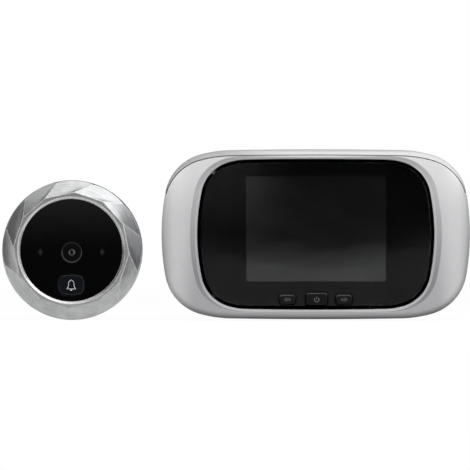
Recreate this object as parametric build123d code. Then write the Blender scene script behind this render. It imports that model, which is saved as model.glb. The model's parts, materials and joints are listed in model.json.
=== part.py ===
from build123d import *
import os
from math import cos, hypot, radians, sin, sqrt

# Peephole door camera: an indoor monitor on its wall bracket, and beside it the outdoor
# camera with its mounting tube, lock washer and nut.
#
# Sizes are millimetres. Each piece is drawn face on, with X to the right, Y up and Z out
# of the door towards the viewer, and Z = 0 on the door's surface. stand_up() then turns
# it so that up is +Z and the viewer stands at -Y. The origin is the centre of the
# peephole hole in the wall bracket.

# General fits
wall = 2.0
seam_gap = 0.3
slip_gap = 0.2
press_gap = 0.05
overrun = 6.0

# Outer outline of the indoor housing, as arcs tangent to each other
cheek_w = 14.7
rim_h = 4.05
housing_top_r = 1750.0
housing_shoulder_r = 51.0
housing_corner_r = 20.0
housing_side_r = 95.0
outline_top_turn = 1.15

# Front panel of the indoor unit: what stands round the display and the row of buttons
panel_side_w = 14.3
panel_over_h = 3.8
button_row_gap = 1.45
button_row_margin = 1.85
panel_top_r = 1430.0
panel_shoulder_r = 28.5
panel_corner_r = 15.8
panel_side_r = 86.0
panel_t = 1.8
panel_fit = 0.12

# Front of the housing: low at the waist, high on the two cheeks
back_z = 0.4
waist_rise = 0.45
crest_rise = 2.5
crest_inset = 5.9
cheek_overrun = 2.4
cheek_drop = 2.6
front_round = 2.5
back_round = 2.2
bevel_rise = 3.2
bevel_width_share = 1.35
ledge_t = 1.3
ledge_w = 1.2
pocket_wall = 2.0

# Parting line between the two housing shells
split_z = 8.0
seam_drop = 2.6
hood_drop = 18.6

# Display
lcd_border_w = 5.8
lcd_border_h = 3.4
lcd_t = 2.45
lcd_x = 0.2
lcd_lip = 1.4
lcd_glass_t = 0.9
lcd_floor_t = 0.4
view_w = 57.6
view_h = 43.2
mask_t = 0.15
display_gap = 1.3

# Buttons on the front panel: place, width, height
side_button_w = 6.6
side_button_h = 3.8
power_button_w = 8.8
power_button_h = 5.0
button_spacing = 4.0
side_button_drop = 0.2
power_button_x = 0.4
button_round = 1.2
button_edge = 0.35
button_proud = 0.2
button_gap = 0.25
button_ear = 0.6
button_ear_t = 0.8
button_ear_gap = 0.45
button_travel = 0.4

# Tactile switches under the buttons
switch_w = 6.0
switch_h = 3.5
switch_plunger_r = 1.1

# Main board and what stands on it
board_left_gap = 6.6
board_right_gap = 2.4
board_half_h = 22.0
board_t = 1.2
board_drop = 2.45
board_tab_w = 34.0
board_tab_gap = 1.65
board_post_r = 2.5
board_post_right_gap = 4.8
board_post_left_gap = 13.6
board_post_y = 19.2

# Small screws
screw_shank_r = 1.0
screw_head_r = 1.9
screw_head_t = 1.2
screw_slot_r = 0.75
screw_slot_t = 0.6
screw_hole_r = 1.2
board_screw_l = 5.0
shell_screw_l = 11.0
shell_boss_r = 3.0
shell_post_r = 2.4
shell_screw_seat = 3.0
shell_screw_left_inset = 6.4
shell_screw_left_drop = 5.05
shell_screw_right_x = 22.0
shell_screw_right_drop = 0.75
shell_bore_gap = 0.3

# Battery compartment in the back, and its sliding cover
cell_r = 5.25
cell_l = 44.5
cell_pitch = 11.0
cell_nub_r = 1.9
cell_nub_l = 0.8
tray_offset = 3.0
cell_gap = 0.55
contact_space = 1.95
tray_wall = 1.5
tray_roof_t = 1.0
cover_t = 2.0
cover_margin = 0.8
tongue_w = 1.0
tongue_t = 0.8
tongue_l = 30.0
tongue_z = 1.2
grip_count = 5
grip_w = 1.0
grip_l = 14.0
grip_depth = 0.6
grip_pitch = 2.2
contact_t = 0.4
contact_w = 8.6
contact_h = 7.6
contact_nub_r = 2.2

# Wall bracket: steel plate with four upturned hooks
bracket_w = 34.0
bracket_h = 50.0
bracket_t = 1.2
bracket_corner_r = 4.0
peephole_r = 6.3
bracket_screw_r = 2.1
bracket_screw_inset = 6.0
hook_x = 9.0
hook_top_clear = 2.5
hook_low_clear = 3.0
hook_w = 4.0
hook_lip_h = 2.8
lift_travel = 4.0
recess_z = 2.6
recess_floor_t = 1.8
recess_rim = 2.0
nut_pocket_r = 10.8
nut_pocket_wall = 1.2
nut_pocket_z = 8.4

# Sockets and the slide switch in the left side, speaker in the back
usb_y = 3.0
usb_w = 7.5
usb_h = 2.6
usb_l = 5.6
usb_shell_t = 0.3
usb_tongue_w = 4.2
usb_tongue_t = 0.7
card_y = -8.5
card_w = 12.4
card_h = 1.5
card_l = 15.0
card_inset = 1.4
card_slot_w = 11.2
card_slot_h = 0.8
slide_y = 13.5
slide_body_w = 6.6
slide_body_h = 3.4
slide_body_l = 3.6
slide_knob_w = 2.2
slide_knob_h = 1.4
slide_knob_inset = 1.1
slide_knob_round = 0.3
slide_travel = 2.0
side_inset = 1.0
port_gap = 0.35
speaker_inset = 21.6
speaker_r = 10.0
speaker_t = 4.4
speaker_magnet_r = 6.0
speaker_magnet_t = 1.6
speaker_collar_t = 1.0
speaker_collar_h = 2.5
speaker_hole_r = 0.8
speaker_hole_pitch = 3.0
speaker_hole_count = 6
camera_socket_w = 9.6
camera_socket_h = 4.6
camera_socket_depth = 3.0
camera_socket_wall = 0.7
camera_pin_count = 6
camera_pin_w = 0.5
camera_pin_pitch = 1.25

# Outdoor camera: where it stands beside the indoor unit, and its main sizes
outdoor_x = -101.1
outdoor_y = -6.6
facet_w = 5.0
bezel_front_z = 16.0
bezel_back_z = 3.0
bezel_wall = 2.2
bezel_round_h = 7.0
bezel_round_extra = 0.5
bezel_face_t = 4.6
facet_count = 12
facet_start_turn = -3.0
facet_margin = 2.0
facet_over = 2.3
facet_drop = 6.4
facet_twist = 20.5
lip_w = 0.9
disc_r = 21.2
disc_t = 1.6
disc_set_back = 1.0
disc_ledge_w = 1.4

# Camera behind the disc
lens_x = 0.15
lens_y = -0.9
lens_ring_r = 4.3
lens_ring_w = 0.45
lens_ring_t = 1.3
lens_ring_lip = 0.05
lens_cone_t = 0.5
lens_glass_r = 1.5
lens_glass_t = 1.4
lens_glass_depth = 0.35
barrel_r = 3.5
barrel_l = 3.6
holder_w = 8.5
holder_t = 2.6
sensor_w = 5.0
sensor_t = 0.6
led_r = 1.5
led_l = 4.2
led_base_r = 1.9
led_base_t = 0.8
led_spread = 12.7
led_sleeve_t = 0.6
led_sleeve_l = 3.4

# Bell button
bell_y = -14.4
bell_w = 10.9
bell_h = 8.6
bell_top_bow = 0.7
bell_side_bow = 0.9
bell_round = 2.2
bell_edge = 0.5
bell_proud = 0.25
bell_travel = 0.5
bell_flange = 0.7
bell_flange_t = 0.8

# Outdoor board, base, pad and mounting tube
outdoor_board_r = 20.5
outdoor_board_t = 1.2
outdoor_board_z = 7.0
base_t = 2.0
pad_t = 1.0
pad_inset = 1.2
base_spigot_t = 1.6
base_spigot_h = 3.2
base_post_r = 2.4
base_post_spread = 16.0
base_post_turn = 32.0
base_screw_count = 3
tube_r = 6.0
tube_bore_r = 4.2
tube_back_z = -38.0
tube_flange_r = 9.0
tube_flange_t = 1.4
tube_fit = 0.07
snap_groove_w = 0.8
snap_groove_depth = 0.4
snap_groove_gap = 1.0
washer_r = 10.0
washer_t = 1.0
nut_across_flats = 17.0
nut_t = 5.0
nut_edge = 0.5
nut_start_gap = 2.5
outdoor_socket_w = 8.6
outdoor_socket_h = 4.0
outdoor_socket_l = 2.6
outdoor_socket_y = 15.0

# Display, panel and housing outlines, each round the one before
lcd_w = view_w + 2 * lcd_border_w
lcd_h = view_h + 2 * lcd_border_h
panel_under_h = button_row_gap + power_button_h + button_row_margin
panel_half_w = lcd_w / 2 + panel_side_w
panel_half_h = (lcd_h + panel_over_h + panel_under_h) / 2
lcd_y = (panel_under_h - panel_over_h) / 2
power_button_y = -panel_half_h + button_row_margin + power_button_h / 2
side_button_y = power_button_y - side_button_drop
side_button_x = (power_button_w + side_button_w) / 2 + button_spacing
housing_half_w = panel_half_w + cheek_w
housing_half_h = panel_half_h + rim_h
crest_x = housing_half_w - crest_inset
cheek_end_x = housing_half_w + cheek_overrun
hood_end_y = housing_half_h - hood_drop
panel = (panel_half_w, panel_half_h, panel_top_r, panel_shoulder_r, panel_corner_r, panel_side_r)
housing = (
    housing_half_w, housing_half_h, housing_top_r, housing_shoulder_r, housing_corner_r, housing_side_r)

# Heights of the indoor unit, from its back to its front
floor_z = back_z + wall
pad_z = recess_z + recess_floor_t
cell_z = floor_z + cell_gap + cell_r
tray_roof_z = cell_z + cell_r + seam_gap
lcd_back_z = tray_roof_z + tray_roof_t + display_gap
lcd_front_z = lcd_back_z + lcd_t
mask_back_z = lcd_front_z + press_gap
panel_back_z = mask_back_z + mask_t
panel_front_z = panel_back_z + panel_t
ledge_back_z = panel_back_z - ledge_t
board_front_z = lcd_back_z - board_drop
board_back_z = board_front_z - board_t
cap_back_z = mask_back_z - button_ear_gap - button_ear_t
switch_t = cap_back_z - button_travel - seam_gap - board_front_z

# Places inside the indoor unit
tray_left_x = bracket_w / 2 + tray_offset
tray_right_x = tray_left_x + 3 * cell_pitch
tray_half_h = cell_l / 2 + contact_space
cover_left_x = tray_left_x
cover_half_h = tray_half_h + cover_margin
board_left_x = -housing_half_w + board_left_gap
board_right_x = tray_left_x - board_right_gap
board_tab_y = -panel_half_h + board_tab_gap
board_post_x = tray_left_x - board_post_right_gap
board_post_left_x = -housing_half_w + board_post_left_gap
shell_screw_left_x = -panel_half_w + shell_screw_left_inset
shell_screw_left_y = panel_half_h - shell_screw_left_drop
shell_screw_right_y = panel_half_h - shell_screw_right_drop
bracket_screw_y = bracket_h / 2 - bracket_screw_inset
hook_top_y = nut_pocket_r + nut_pocket_wall + hook_top_clear
hook_low_y = -nut_pocket_r - nut_pocket_wall - lift_travel - hook_low_clear
speaker_x = -housing_half_w + speaker_inset

# Radii and heights of the outdoor camera
facet_inner_r = disc_r + lip_w + facet_margin
bezel_r = facet_inner_r + facet_w
facet_outer_r = bezel_r + facet_over
bezel_round_start_z = bezel_front_z - bezel_round_h
bezel_round_r = bezel_round_h + bezel_round_extra
disc_front_z = bezel_front_z - disc_set_back
disc_back_z = disc_front_z - disc_t
outdoor_board_front_z = outdoor_board_z + outdoor_board_t
base_z = pad_t
base_front_z = base_z + base_t
nut_back_z = -nut_start_gap - washer_t - press_gap - nut_t
sides = (-1, 1)


def disc(radius, low_z, height, x=0.0, y=0.0):
    """Round solid standing on low_z."""
    return Pos(x, y, low_z) * Cylinder(radius, height, align=(Align.CENTER, Align.CENTER, Align.MIN))


def block(width, height, low_z, depth, x=0.0, y=0.0):
    """Rectangular solid centred at x, y and standing on low_z."""
    return Pos(x, y, low_z) * Box(width, height, depth, align=(Align.CENTER, Align.CENTER, Align.MIN))


def plate(width, height, corner_r, low_z, depth, x=0.0, y=0.0):
    """Rectangular solid with round corners, standing on low_z."""
    return Pos(x, y, low_z) * extrude(RectangleRounded(width, height, corner_r), depth)


def arc_on_circle(centre, radius, start, end):
    """Arc about a centre from one point to another, the short way round."""
    half_x = (start[0] + end[0]) / 2 - centre[0]
    half_y = (start[1] + end[1]) / 2 - centre[1]
    reach = radius / hypot(half_x, half_y)
    middle = (centre[0] + half_x * reach, centre[1] + half_y * reach)
    return ThreePointArc(start, middle, end)


def soft_outline(shape, grow=0.0):
    """Face bounded by twelve tangent arcs; grow moves the outline outward by an equal distance."""
    half_w, half_h, top_r, shoulder_r, corner_r, side_r = (size + grow for size in shape)
    turn = radians(outline_top_turn)
    top_centre = (0.0, half_h - top_r)
    top_end = (top_r * sin(turn), top_centre[1] + top_r * cos(turn))
    shoulder_centre = (top_end[0] - shoulder_r * sin(turn), top_end[1] - shoulder_r * cos(turn))
    side_centre = (half_w - side_r, 0.0)
    step_x = shoulder_centre[0] - side_centre[0]
    step_y = shoulder_centre[1] - side_centre[1]
    span = hypot(step_x, step_y)
    from_side = side_r - corner_r
    from_shoulder = shoulder_r - corner_r
    along = (from_side ** 2 - from_shoulder ** 2 + span ** 2) / (2 * span)
    across = sqrt(from_side ** 2 - along ** 2)
    unit_x, unit_y = step_x / span, step_y / span
    corner_centre = (
        side_centre[0] + along * unit_x - across * unit_y,
        side_centre[1] + along * unit_y + across * unit_x,
    )
    shoulder_end = stretch(shoulder_centre, corner_centre, shoulder_r)
    corner_end = stretch(side_centre, corner_centre, side_r)
    arcs = []
    for flip_x in sides:
        arcs.append(arc_on_circle(
            (flip_x * side_centre[0], 0.0), side_r,
            (flip_x * corner_end[0], -corner_end[1]), (flip_x * corner_end[0], corner_end[1])))
        arcs.append(arc_on_circle(
            (0.0, flip_x * top_centre[1]), top_r,
            (-top_end[0], flip_x * top_end[1]), (top_end[0], flip_x * top_end[1])))
        for flip_y in sides:
            arcs.append(arc_on_circle(
                (flip_x * shoulder_centre[0], flip_y * shoulder_centre[1]), shoulder_r,
                (flip_x * top_end[0], flip_y * top_end[1]),
                (flip_x * shoulder_end[0], flip_y * shoulder_end[1])))
            arcs.append(arc_on_circle(
                (flip_x * corner_centre[0], flip_y * corner_centre[1]), corner_r,
                (flip_x * shoulder_end[0], flip_y * shoulder_end[1]),
                (flip_x * corner_end[0], flip_y * corner_end[1])))
    return make_face(arcs)


def stretch(start, towards, reach):
    """Point at a given reach from start, in the direction of another point."""
    span = hypot(towards[0] - start[0], towards[1] - start[1])
    return (
        start[0] + (towards[0] - start[0]) * reach / span,
        start[1] + (towards[1] - start[1]) * reach / span,
    )


def outline_block(shape, grow, low_z, high_z):
    """Solid of a soft outline between two heights."""
    return Pos(0, 0, low_z) * extrude(soft_outline(shape, grow), high_z - low_z)


def saddle_block(lowered):
    """Everything behind the housing's front surface, lowered by a wall where it is the inside."""
    waist_z = panel_front_z + waist_rise - lowered
    crest_z = panel_front_z + crest_rise - lowered
    end_z = crest_z - cheek_drop
    low_z = -overrun
    waist = ThreePointArc((-crest_x, crest_z), (0, waist_z), (crest_x, crest_z))
    cheek_right = TangentArc((crest_x, crest_z), (cheek_end_x, end_z), tangent=waist % 1)
    cheek_left = mirror(cheek_right, about=Plane.YZ)
    far_x = housing_half_w + overrun
    rest = Polyline(
        (cheek_end_x, end_z), (far_x, end_z), (far_x, low_z),
        (-far_x, low_z), (-far_x, end_z), (-cheek_end_x, end_z))
    profile = Plane.XZ * make_face([waist, cheek_right, cheek_left, rest])
    return extrude(profile, housing_half_h + overrun, both=True)


def housing_skin():
    """The closed outer form of the indoor unit, rounded front and back."""
    skin = outline_block(housing, 0.0, back_z, panel_front_z + crest_rise + overrun) & saddle_block(0.0)
    front_edges = [
        edge for edge in skin.edges()
        if edge.center().Z > panel_front_z - cheek_drop and edge.geom_type != GeomType.LINE]
    skin = fillet(front_edges, front_round)
    return fillet(skin.edges().group_by(Axis.Z)[0], back_round)


def housing_cavity():
    """The hollow inside both shells, kept clear of the panel's pocket and ledge."""
    inside = outline_block(housing, -wall, floor_z, panel_front_z + crest_rise) & saddle_block(wall)
    return inside - outline_block(panel, pocket_wall, ledge_back_z, panel_front_z + overrun)


def panel_cut():
    """Pocket for the panel, open through its ledge, with the bevel that widens to the front."""
    pocket = outline_block(panel, panel_fit, panel_back_z, panel_front_z)
    through = outline_block(panel, -ledge_w, ledge_back_z - overrun, panel_back_z)
    widening = bevel_rise * bevel_width_share
    bevel = loft([
        Pos(0, 0, panel_front_z) * soft_outline(panel, panel_fit),
        Pos(0, 0, panel_front_z + bevel_rise) * soft_outline(panel, panel_fit + widening)], ruled=True)
    return pocket + through + bevel


def front_zone(grow):
    """What belongs to the front shell: all in front of the split, below the hood's seam."""
    high_z = panel_front_z + crest_rise + overrun
    depth = high_z - split_z + grow
    lowered = Pos(0, -seam_drop, 0) * outline_block(housing, grow, split_z - grow, high_z)
    floor_y = -housing_half_h - overrun
    band_h = hood_end_y + grow - floor_y
    band = block(
        2 * (housing_half_w + overrun), band_h, split_z - grow, depth, y=floor_y + band_h / 2)
    return lowered + band


def cover_zone(grow):
    """Where the battery cover lies in the back of the housing."""
    width = housing_half_w + overrun - cover_left_x + grow
    zone = block(
        width, 2 * (cover_half_h + grow), back_z - overrun, cover_t + overrun + grow,
        x=cover_left_x - grow + width / 2)
    tongue_left = cover_left_x + tongue_w
    reach = tongue_l if grow == 0 else housing_half_w
    tongue = block(
        reach + 2 * grow, 2 * (cover_half_h + tongue_w + grow), tongue_z - grow, tongue_t + 2 * grow,
        x=tongue_left + reach / 2)
    return zone + tongue


def shell_screw_places():
    """Centres of the four screws that join the shells."""
    return [
        (x, side * y)
        for x, y in (
            (shell_screw_left_x, shell_screw_left_y), (shell_screw_right_x, shell_screw_right_y))
        for side in sides]


def board_screw_places():
    """Centres of the four screws that hold the main board."""
    return [(x, side * board_post_y) for x in (board_post_left_x, board_post_x) for side in sides]


def side_port(width, height, y, z):
    """Cut through the left wall, centred at a height and a depth."""
    return Pos(-housing_half_w, y, z) * Box(2 * wall + overrun, width, height)


def front_shell(shell):
    """Silver front: cheeks, bevel, panel pocket, screw posts and the side openings."""
    front = shell & front_zone(0.0)
    front -= panel_cut()
    for x, y in shell_screw_places():
        front += disc(shell_post_r, split_z, ledge_back_z - split_z, x, y)
        front -= disc(screw_shank_r, split_z, shell_screw_l, x, y)
    front -= side_port(usb_w + 2 * port_gap, usb_h + 2 * port_gap, usb_y, usb_z())
    front -= side_port(card_slot_w + 2 * port_gap, card_slot_h + 2 * port_gap, card_y, card_z())
    slot_w = slide_knob_w + slide_travel + 2 * port_gap
    front -= side_port(slot_w, slide_knob_h + 2 * port_gap, slide_y + slide_travel / 2, slide_z())
    return front


def rear_shell(shell):
    """Silver back with its hood, bracket recess, nut pocket, battery tray, bosses and grille."""
    tray_w = tray_right_x - tray_left_x
    tray_x = (tray_left_x + tray_right_x) / 2
    rear = shell - front_zone(seam_gap)
    rear += recess_pad()
    rear += nut_pocket_skin()
    tray = block(
        tray_w + 2 * tray_wall, 2 * (tray_half_h + tray_wall + tongue_w), back_z + grip_depth,
        tray_roof_z + tray_roof_t - back_z - grip_depth, x=tray_x)
    rear += tray & outline_block(housing, -wall, back_z, panel_front_z)
    rear -= block(tray_w, 2 * tray_half_h, back_z, tray_roof_z - back_z, x=tray_x)
    rear -= cover_zone(seam_gap)
    rear += speaker_collar()
    for x, y in shell_screw_places():
        rear += disc(shell_boss_r, floor_z, split_z - seam_gap - floor_z, x, y)
        rear -= disc(screw_hole_r, back_z - overrun, split_z + overrun, x, y)
        rear -= disc(
            screw_head_r + shell_bore_gap, back_z - overrun, shell_screw_seat - back_z + overrun, x, y)
    for x, y in board_screw_places():
        post_low_z = pad_z if x > 0 else floor_z
        rear += disc(board_post_r, post_low_z, board_back_z - post_low_z, x, y)
        rear -= disc(screw_shank_r, board_front_z - board_screw_l, board_screw_l, x, y)
    rear -= recess_cut()
    rear -= nut_pocket_cut()
    for x, y in speaker_hole_places():
        rear -= disc(speaker_hole_r, back_z - overrun, wall + 2 * overrun, x, y)
    return rear


def recess_span():
    """Height and centre of the recess, which leaves room for the unit to be lifted off."""
    high_y = bracket_h / 2 + 2 * slip_gap
    low_y = -bracket_h / 2 - lift_travel - seam_gap
    return high_y - low_y, (high_y + low_y) / 2


def recess_pad():
    """Thicker wall behind the bracket."""
    height, y = recess_span()
    return block(
        bracket_w + 4 * slip_gap + 2 * recess_rim, height + 2 * recess_rim, floor_z, pad_z - floor_z, y=y)


def recess_cut():
    """Recess that the bracket lies in, and the four slots for its hooks."""
    height, y = recess_span()
    depth = recess_z - back_z + overrun
    cut = plate(bracket_w + 4 * slip_gap, height, bracket_corner_r, back_z - overrun, depth, y=y)
    slot_h = bracket_t + lift_travel + 2 * seam_gap
    for x, hook_y in hook_places():
        cut += block(
            hook_w + 2 * seam_gap, slot_h, back_z, pad_z + overrun - back_z, x,
            hook_y + bracket_t + seam_gap - slot_h / 2)
    return cut


def pocket_form(radius, low_z, depth):
    """Upright slot about the peephole, long enough for the unit to be lifted."""
    form = extrude(SlotCenterToCenter(lift_travel, 2 * radius, rotation=90), depth)
    return Pos(0, -lift_travel / 2, low_z) * form


def nut_pocket_skin():
    """Walls and floor of the pocket that takes the tube's end and its nut."""
    return pocket_form(nut_pocket_r + nut_pocket_wall, floor_z, nut_pocket_z + nut_pocket_wall - floor_z)


def nut_pocket_cut():
    """Room inside the pocket, and the window in its floor for the camera socket."""
    room = pocket_form(nut_pocket_r, back_z - overrun, nut_pocket_z - back_z + overrun)
    window = block(
        camera_socket_w + 2 * port_gap, camera_socket_h + 2 * port_gap, nut_pocket_z - overrun,
        nut_pocket_wall + 2 * overrun)
    return room + window


def hook_places():
    """Left and right hooks in two rows, each given at the underside of its neck."""
    return [(side * hook_x, y) for y in (hook_top_y, hook_low_y) for side in sides]


def speaker_collar():
    """Ring that locates the speaker against the back wall."""
    height = speaker_collar_h
    outer = disc(speaker_r + slip_gap + speaker_collar_t, floor_z, height, speaker_x)
    return outer - disc(speaker_r + slip_gap, floor_z, height, speaker_x)


def speaker_hole_places():
    """One middle hole and two rings of holes."""
    places = [(speaker_x, 0.0)]
    for ring in (1, 2):
        for hole in range(ring * speaker_hole_count):
            turn = radians(hole * 360 / (ring * speaker_hole_count))
            reach = ring * speaker_hole_pitch
            places.append((speaker_x + reach * cos(turn), reach * sin(turn)))
    return places


def usb_z():
    """Depth of the charging socket's middle, hung under the main board."""
    return board_back_z - usb_h / 2


def card_z():
    """Depth of the memory card's slot."""
    return board_back_z - card_h / 2


def slide_z():
    """Depth of the slide switch's knob."""
    return board_back_z - slide_body_h / 2


def button_places():
    """Each front button's name, place, width and height."""
    return (
        ("left_button", -side_button_x, side_button_y, side_button_w, side_button_h),
        ("power_button", power_button_x, power_button_y, power_button_w, power_button_h),
        ("right_button", side_button_x, side_button_y, side_button_w, side_button_h),
    )


def button_cap(x, y, width, height):
    """Rounded cap with two ears that keep it behind the panel."""
    cap = plate(width, height, button_round, cap_back_z, panel_front_z + button_proud - cap_back_z, x, y)
    cap = fillet(cap.edges().group_by(Axis.Z)[-1], button_edge)
    ear_h = height - 2 * button_round
    return cap + block(width + 2 * button_ear, ear_h, cap_back_z, button_ear_t, x, y)


def button_holes(low_z, depth):
    """Holes that the three caps pass through."""
    holes = []
    for _, x, y, width, height in button_places():
        holes.append(plate(
            width + 2 * button_gap, height + 2 * button_gap, button_round + button_gap, low_z, depth, x, y))
    return holes


def front_panel():
    """Clear acrylic panel that fills the pocket in the front shell."""
    return outline_block(panel, 0.0, panel_back_z, panel_front_z) - button_holes(panel_back_z, panel_t)


def panel_mask():
    """Black film behind the panel, with a window for the display."""
    film = outline_block(panel, -ledge_w - slip_gap, mask_back_z, panel_back_z)
    film -= block(view_w, view_h, mask_back_z, mask_t, lcd_x, lcd_y)
    return film - button_holes(mask_back_z, mask_t)


def lcd_frame():
    """Metal tray of the display."""
    tray = block(lcd_w, lcd_h, lcd_back_z, lcd_t, lcd_x, lcd_y)
    return tray - block(
        lcd_w - 2 * lcd_lip, lcd_h - 2 * lcd_lip, lcd_back_z + lcd_floor_t, lcd_t, lcd_x, lcd_y)


def lcd_glass():
    """Glass cell of the display."""
    return block(
        lcd_w - 2 * lcd_lip - 2 * press_gap, lcd_h - 2 * lcd_lip - 2 * press_gap,
        lcd_front_z - lcd_glass_t, lcd_glass_t, lcd_x, lcd_y)


def backlight():
    """Light guide under the glass."""
    low_z = lcd_back_z + lcd_floor_t
    return block(
        lcd_w - 2 * lcd_lip - 2 * press_gap, lcd_h - 2 * lcd_lip - 2 * press_gap,
        low_z, lcd_front_z - lcd_glass_t - low_z, lcd_x, lcd_y)


def main_board():
    """Circuit board, with a tab below that carries the button switches."""
    width = board_right_x - board_left_x
    board = block(width, 2 * board_half_h, board_back_z, board_t, (board_left_x + board_right_x) / 2)
    tab_h = -board_tab_y
    board += block(board_tab_w, tab_h, board_back_z, board_t, y=board_tab_y + tab_h / 2)
    for x, y in board_screw_places():
        board -= disc(screw_hole_r, board_back_z, board_t, x, y)
    return board


def board_chips():
    """Processor, memory, coil and capacitors, hung under the board."""
    chip_shares = (
        (-0.50, 0.55, 0.17, 0.30, 0.9),
        (-0.22, 0.60, 0.11, 0.24, 0.8),
        (-0.25, -0.55, 0.09, 0.20, 1.6),
        (-0.62, -0.80, 0.06, 0.12, 1.3),
        (0.55, 0.30, 0.07, 0.16, 0.8),
    )
    width = board_right_x - board_left_x
    chips = []
    for x_share, y_share, w_share, h_share, depth_share in chip_shares:
        depth = depth_share * board_t
        chips.append(block(
            w_share * width, h_share * board_half_h, board_back_z - depth, depth,
            x_share * -board_left_x if x_share < 0 else x_share * board_right_x, y_share * board_half_h))
    return chips


def button_switches():
    """Tactile switches on the board's tab, one under each cap."""
    switches = []
    for _, x, y, _, _ in button_places():
        body_t = switch_t - seam_gap
        switches.append(
            block(switch_w, switch_h, board_front_z, body_t, x, y)
            + disc(switch_plunger_r, board_front_z, switch_t, x, y))
    return switches


def screw(x, y, head_low_z, length, up):
    """Screw with a socket in its head; up is 1 where the shank points to the viewer, else -1."""
    body = disc(screw_head_r, 0, screw_head_t)
    body += disc(screw_shank_r, screw_head_t, length)
    body -= disc(screw_slot_r, 0, screw_slot_t)
    if up < 0:
        body = Rot(180, 0, 0) * body
    return Pos(x, y, head_low_z) * body


def shell_screws():
    """Four screws driven from the back into the front shell's posts."""
    low_z = shell_screw_seat - screw_head_t
    return [screw(x, y, low_z, shell_screw_l, 1) for x, y in shell_screw_places()]


def board_screws():
    """Four screws driven from the front into the rear shell's posts."""
    high_z = board_front_z + screw_head_t
    return [screw(x, y, high_z, board_screw_l, -1) for x, y in board_screw_places()]


def battery_cells():
    """Three cells side by side, the middle one the other way up."""
    cells = []
    for number in range(3):
        x = tray_left_x + (number + 0.5) * cell_pitch
        up = 1 if number % 2 else -1
        body_l = cell_l - cell_nub_l
        cell = Cylinder(cell_r, body_l, rotation=(90, 0, 0))
        nub_y = up * (body_l + cell_nub_l) / 2
        cell += Pos(0, nub_y, 0) * Cylinder(cell_nub_r, cell_nub_l, rotation=(90, 0, 0))
        cell = Pos(0, -up * cell_nub_l / 2, 0) * cell
        cells.append(Pos(x, 0, cell_z) * cell)
    return cells


def battery_contacts():
    """Sprung contact plates at both ends of each cell."""
    contacts = []
    plate_y = tray_half_h - contact_t / 2
    nub_l = tray_half_h - contact_t - cell_l / 2 - press_gap
    for number in range(3):
        x = tray_left_x + (number + 0.5) * cell_pitch
        for side in sides:
            leaf = Pos(x, side * plate_y, cell_z) * Box(contact_w, contact_t, contact_h)
            nub_y = side * (plate_y - contact_t / 2 - nub_l / 2)
            leaf += Pos(x, nub_y, cell_z) * Cylinder(contact_nub_r, nub_l, rotation=(90, 0, 0))
            contacts.append(leaf)
    return contacts


def battery_cover(skin):
    """Sliding cover cut from the back of the housing, with two tongues and a ribbed grip."""
    cover = skin & cover_zone(0.0)
    grip_x = cover_left_x + wall + grip_w
    for number in range(grip_count):
        cover -= block(grip_w, grip_l, back_z, grip_depth, x=grip_x + number * grip_pitch)
    return cover


def wall_bracket():
    """Plate with the peephole hole, two screw holes and four upturned hooks."""
    bracket = plate(bracket_w, bracket_h, bracket_corner_r, 0, bracket_t)
    bracket -= disc(peephole_r, 0, bracket_t)
    for side in sides:
        bracket -= disc(bracket_screw_r, 0, bracket_t, y=side * bracket_screw_y)
    lip_z = pad_z + seam_gap
    for x, y in hook_places():
        neck_y = y + bracket_t / 2
        bracket += block(hook_w, bracket_t, 0, lip_z + bracket_t, x, neck_y)
        lip_h = bracket_t + hook_lip_h
        bracket += block(hook_w, lip_h, lip_z, bracket_t, x, y + lip_h / 2)
    return bracket


def usb_socket():
    """Charging socket: a thin metal shell with its tongue."""
    mouth_x = -housing_half_w + side_inset
    centre_x = mouth_x + usb_l / 2
    shell = Pos(centre_x, usb_y, usb_z()) * Box(usb_l, usb_w, usb_h)
    inner_w = usb_w - 2 * usb_shell_t
    inner_h = usb_h - 2 * usb_shell_t
    shell -= Pos(centre_x - usb_shell_t, usb_y, usb_z()) * Box(usb_l, inner_w, inner_h)
    tongue_x = centre_x + usb_shell_t
    return shell + Pos(tongue_x, usb_y, usb_z()) * Box(usb_l - 2 * usb_shell_t, usb_tongue_w, usb_tongue_t)


def card_socket():
    """Memory card socket with its slot towards the left side."""
    mouth_x = -housing_half_w + wall + card_inset
    centre_x = mouth_x + card_l / 2
    body = Pos(centre_x, card_y, card_z()) * Box(card_l, card_w, card_h)
    return body - Pos(centre_x - wall, card_y, card_z()) * Box(card_l, card_slot_w, card_slot_h)


def slide_body_x():
    """Left face of the slide switch's body, just inside the wall."""
    return -housing_half_w + wall + 2 * side_inset


def slide_body():
    """Body of the slide switch."""
    body = Pos(slide_body_x() + slide_body_l / 2, slide_y, slide_z())
    return body * Box(slide_body_l, slide_body_w, slide_body_h)


def slide_knob():
    """Knob of the slide switch, set back in its slot in the left wall."""
    low_x = -housing_half_w + slide_knob_inset
    high_x = slide_body_x() - slip_gap
    knob = Pos((low_x + high_x) / 2, slide_y, slide_z()) * Box(high_x - low_x, slide_knob_w, slide_knob_h)
    outer_edges = knob.faces().sort_by(Axis.X)[0].edges()
    return fillet(outer_edges, slide_knob_round)


def speaker():
    """Round speaker with its magnet, lying in the collar."""
    low_z = floor_z + press_gap
    body = disc(speaker_r, low_z, speaker_t - speaker_magnet_t, speaker_x)
    return body + disc(speaker_magnet_r, low_z, speaker_t, speaker_x)


def pin_socket(width, height, low_z, depth, x=0.0, y=0.0):
    """Connector housing that is open to the back, with its row of pins."""
    body = block(width, height, low_z, depth, x, y)
    room = 2 * camera_socket_wall
    body -= block(width - room, height - room, low_z, depth - camera_socket_wall, x, y)
    first_x = x - camera_pin_pitch * (camera_pin_count - 1) / 2
    for number in range(camera_pin_count):
        body += block(
            camera_pin_w, camera_pin_w, low_z + camera_socket_wall, depth - camera_socket_wall,
            first_x + number * camera_pin_pitch, y)
    return body


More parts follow.
